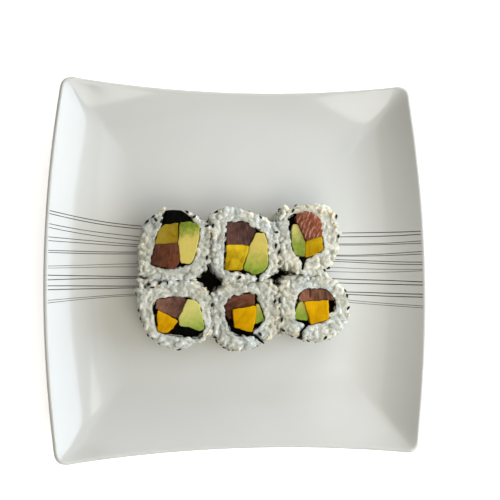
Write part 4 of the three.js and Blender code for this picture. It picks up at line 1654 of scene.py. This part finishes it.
# Each spot is a column and a row of the picture and the way the seed points, in degrees from the right.
BLACK_SPOTS = (
    (147, 222, 45), (153, 217, 60), (155.5, 219.5, -60), (187, 212, -45), (194, 217, 40), (204, 218, -20),
    (207, 226, 15), (213, 226, 80), (211, 238, 35), (207, 258, 85), (216, 212, 35), (226, 206, 15),
    (260, 217, -25), (276, 232, -10), (276, 246, 80), (279, 253, 70), (293, 211, 60), (325, 204.5, -10),
    (330, 206, -60), (331, 209, 80), (336, 211, 60), (336, 217, 75), (338, 237, 80), (333, 266, 65),
    (328, 268, 20), (324, 270, -30), (330, 272, 5), (149, 285, -20), (152, 287, -25), (160, 283, 50),
    (168, 283, 20), (178, 281, 30), (157, 343, -35), (161, 345.5, -20), (212, 305, 75), (215, 337, 30),
    (260, 334, -50), (275, 302, 80), (276, 246, 85), (345, 291, 70), (347, 296, 80), (348, 308, 70),
    (340, 335, 60), (325, 338, 35), (282, 320, 80), (283, 330, -40), (298, 341.5, -20), (312, 346, -30),
    (239, 278, 40), (211, 271, 20), (196, 279, 10), (279, 300, 80), (304, 305, 70),
)
TAN_SPOTS = (
    (163, 209, 25), (222, 206, 5), (238, 207, -30), (249, 214, -25), (266, 222, -35), (269, 219, 60),
    (273, 221, 0), (209, 232, 70), (214, 238, 20), (322, 204, 5), (329, 212, -20), (333, 214, 40),
    (337, 217, -15), (341, 217, 20), (338, 221, 50), (334, 225, 20), (335, 231, 10), (332, 217, 75),
    (226, 283, -30), (190, 281, 10), (194, 280, -10), (198, 281, 30), (204, 289, -50), (207, 334, 45),
    (268, 338, 50), (277, 308, 80), (276, 319, 60), (281, 290, 80), (288, 334, 5), (293.5, 333, 60),
    (297, 334, -10), (348, 316, 70), (213, 327, 30), (209, 331, 60), (321, 212, 60), (158, 285, -15),
)


def rice_seen_at(x, y):
    """Place and normal of the rice at a spot of the picture, or None."""
    hits = [tree.ray_cast(camera.location, sight_line(x, y)) for tree in rice_trees.values()]
    hits = [hit for hit in hits if hit[0] is not None]
    if not hits:
        return None
    place, normal, _, _ = min(hits, key=lambda hit: hit[3])
    return np.array(place), np.array(normal)


def seeds_seen(spots):
    """Places, normals and directions of the seeds that the picture shows."""
    rows = []
    for x, y, turn in spots:
        seen = rice_seen_at(x, y)
        if seen:
            rows.append((*seen, (*direction(turn), 0)))
    return rows


def seeds_on_sides(random):
    """Places, normals and directions of seeds on the pieces' sides, spaced evenly."""
    rows = []
    for k in PIECES:
        corners, normals = corners_and_normals(bpy.data.objects[f"sticky_rice_{k}"].data)
        side = facing_out(k, corners, normals) > SIDE_FACING
        side &= corners[:, 2] > FLOOR + SIDE_FROM_PLATE
        side &= corners[:, 2] < cut_height[k] - SIDE_FROM_CUT
        corners, normals = corners[side], normals[side]
        chosen = spaced_out(corners, SIDE_SPACING, random)
        ways = across(normals[chosen], random)
        rows += list(zip(corners[chosen], normals[chosen], ways))
    return rows


def seed_axes(rows, random):
    """Each seed lies flat on the rice and keeps its direction as far as that lets it."""
    places, normals, ways = (np.array(column) for column in zip(*rows))
    ways = along_surface(ways, normals)
    sizes = SEED_HALF * random.uniform(0.88, 1.1, (len(rows), 3))
    axes = np.stack([ways, np.cross(normals, ways), normals], axis=1) * sizes[:, :, None]
    return places + normals * (SEED_HALF[2] - SEED_SINK), axes


def seed_material(name, light, dark):
    material, tree, shader = new_material(name, Roughness=0.4, Specular_IOR_Level=0.25)
    hull = use_group(tree, CLOUDY, Light=light, Dark=dark, Patches_per_metre=380, Contrast=1.4)
    set_finish(tree, shader, hull.outputs["Colour"])
    ridges = use_group(tree, STREAKS, Streaks_per_metre=2200, Length=3)
    add_bump(tree, shader, ridges.outputs["Height"], 0.15 * MM)
    return material


random = np.random.default_rng(SESAME_SEED)
side_seeds = seeds_on_sides(random)
is_black = random.random(len(side_seeds)) < BLACK_SHARE
black_rows = seeds_seen(BLACK_SPOTS) + [row for row, black in zip(side_seeds, is_black) if black]
tan_rows = seeds_seen(TAN_SPOTS) + [row for row, black in zip(side_seeds, is_black) if not black]
SEED = wrap_rings([ring_along(-x, width) for x, width in SEED_SECTION])
RICE_NODES = [f"rice_{k}" for k in PIECES]
BLACK = seed_material("black_hull", colour(30, 28, 26), colour(8, 8, 7))
TAN = seed_material("toasted_hull", colour(244, 230, 198), colour(226, 198, 152))
black_seeds = spread_copies(SEED, *seed_axes(black_rows, random))
make_piece("black_sesame", *black_seeds, BLACK, "black_sesame", RICE_NODES)
tan_seeds = spread_copies(SEED, *seed_axes(tan_rows, random))
make_piece("tan_sesame", *tan_seeds, TAN, "tan_sesame", RICE_NODES)
print("sesame:", len(black_rows), "black and", len(tan_rows), "tan")

# %% [markdown]
# The plate stands on a plain white surface. In the photograph daylight comes from the right: the left
# rim, which faces it, is almost white and a little blue, and the right rim is warm grey. One large cool
# lamp low on the right does most of that. Two more to its sides spread the light along the rims, and two
# weak ones high up soften the shadows. A faint glow in the surface keeps it white in the plate's shadow.
# The view transform is Standard, so that a colour in the picture is the material under this light.

# %% Floor and light
FLOOR_SIZE = 3.0
FLOOR_GLOW = 0.55
LAMP_DISTANCE = 0.85
LAMP_SIZE = 0.57
# Each lamp has its direction in degrees from the right, its height in degrees, its power and its tint.
LAMPS = (
    ("window", 0, 32, 5.3, (0.74, 0.85, 1)),
    ("window_side", 60, 14, 5, (1, 0.97, 0.88)),
    ("room", 300, 52, 3.4, (1, 0.98, 0.92)),
    ("upper_fill", 90, 72, 1.15, (1, 0.98, 0.97)),
    ("lower_fill", 270, 72, 0.9, (1, 0.9, 0.64)),
)
SKY = (1, 0.95, 0.88, 1)
SKY_STRENGTH = 0.05


def floor_material():
    material, tree, shader = new_material("white_surface", Roughness=0.7, Emission_Strength=FLOOR_GLOW)
    tone = use_group(
        tree, CLOUDY, Light=colour(252, 252, 252), Dark=colour(248, 248, 248), Patches_per_metre=6
    )
    set_finish(tree, shader, tone.outputs["Colour"])
    tree.links.new(tone.outputs["Colour"], shader.inputs["Emission Color"])
    return material


half = FLOOR_SIZE / 2
floor_corners = [(-half, -half, 0), (half, -half, 0), (half, half, 0), (-half, half, 0)]
floor_mesh = new_mesh("surface", floor_corners, [(0, 1, 2, 3)])
floor_mesh.materials.append(floor_material())
floor = new_object("surface", floor_mesh)


def add_lamp(name, turn, height, power, tint):
    """A square soft lamp that faces the middle of the plate."""
    data = bpy.data.lights.new(name, "AREA")
    data.shape = "SQUARE"
    data.size = LAMP_SIZE
    data.energy = power
    data.color = tint
    lamp = new_object(name, data)
    turn, height = math.radians(turn), math.radians(height)
    level = math.cos(height)
    towards = Vector((level * math.cos(turn), level * math.sin(turn), math.sin(height)))
    lamp.location = LAMP_DISTANCE * towards
    lamp.rotation_euler = (-towards).to_track_quat("-Z", "Y").to_euler()


for lamp in LAMPS:
    add_lamp(*lamp)
world = bpy.data.worlds.new("soft_sky")
world.use_nodes = True
sky = world.node_tree.nodes["Background"]
sky.inputs["Color"].default_value = SKY
sky.inputs["Strength"].default_value = SKY_STRENGTH
bpy.context.scene.world = world
bpy.context.scene.view_settings.view_transform = "Standard"
print("lamps:", len(LAMPS))
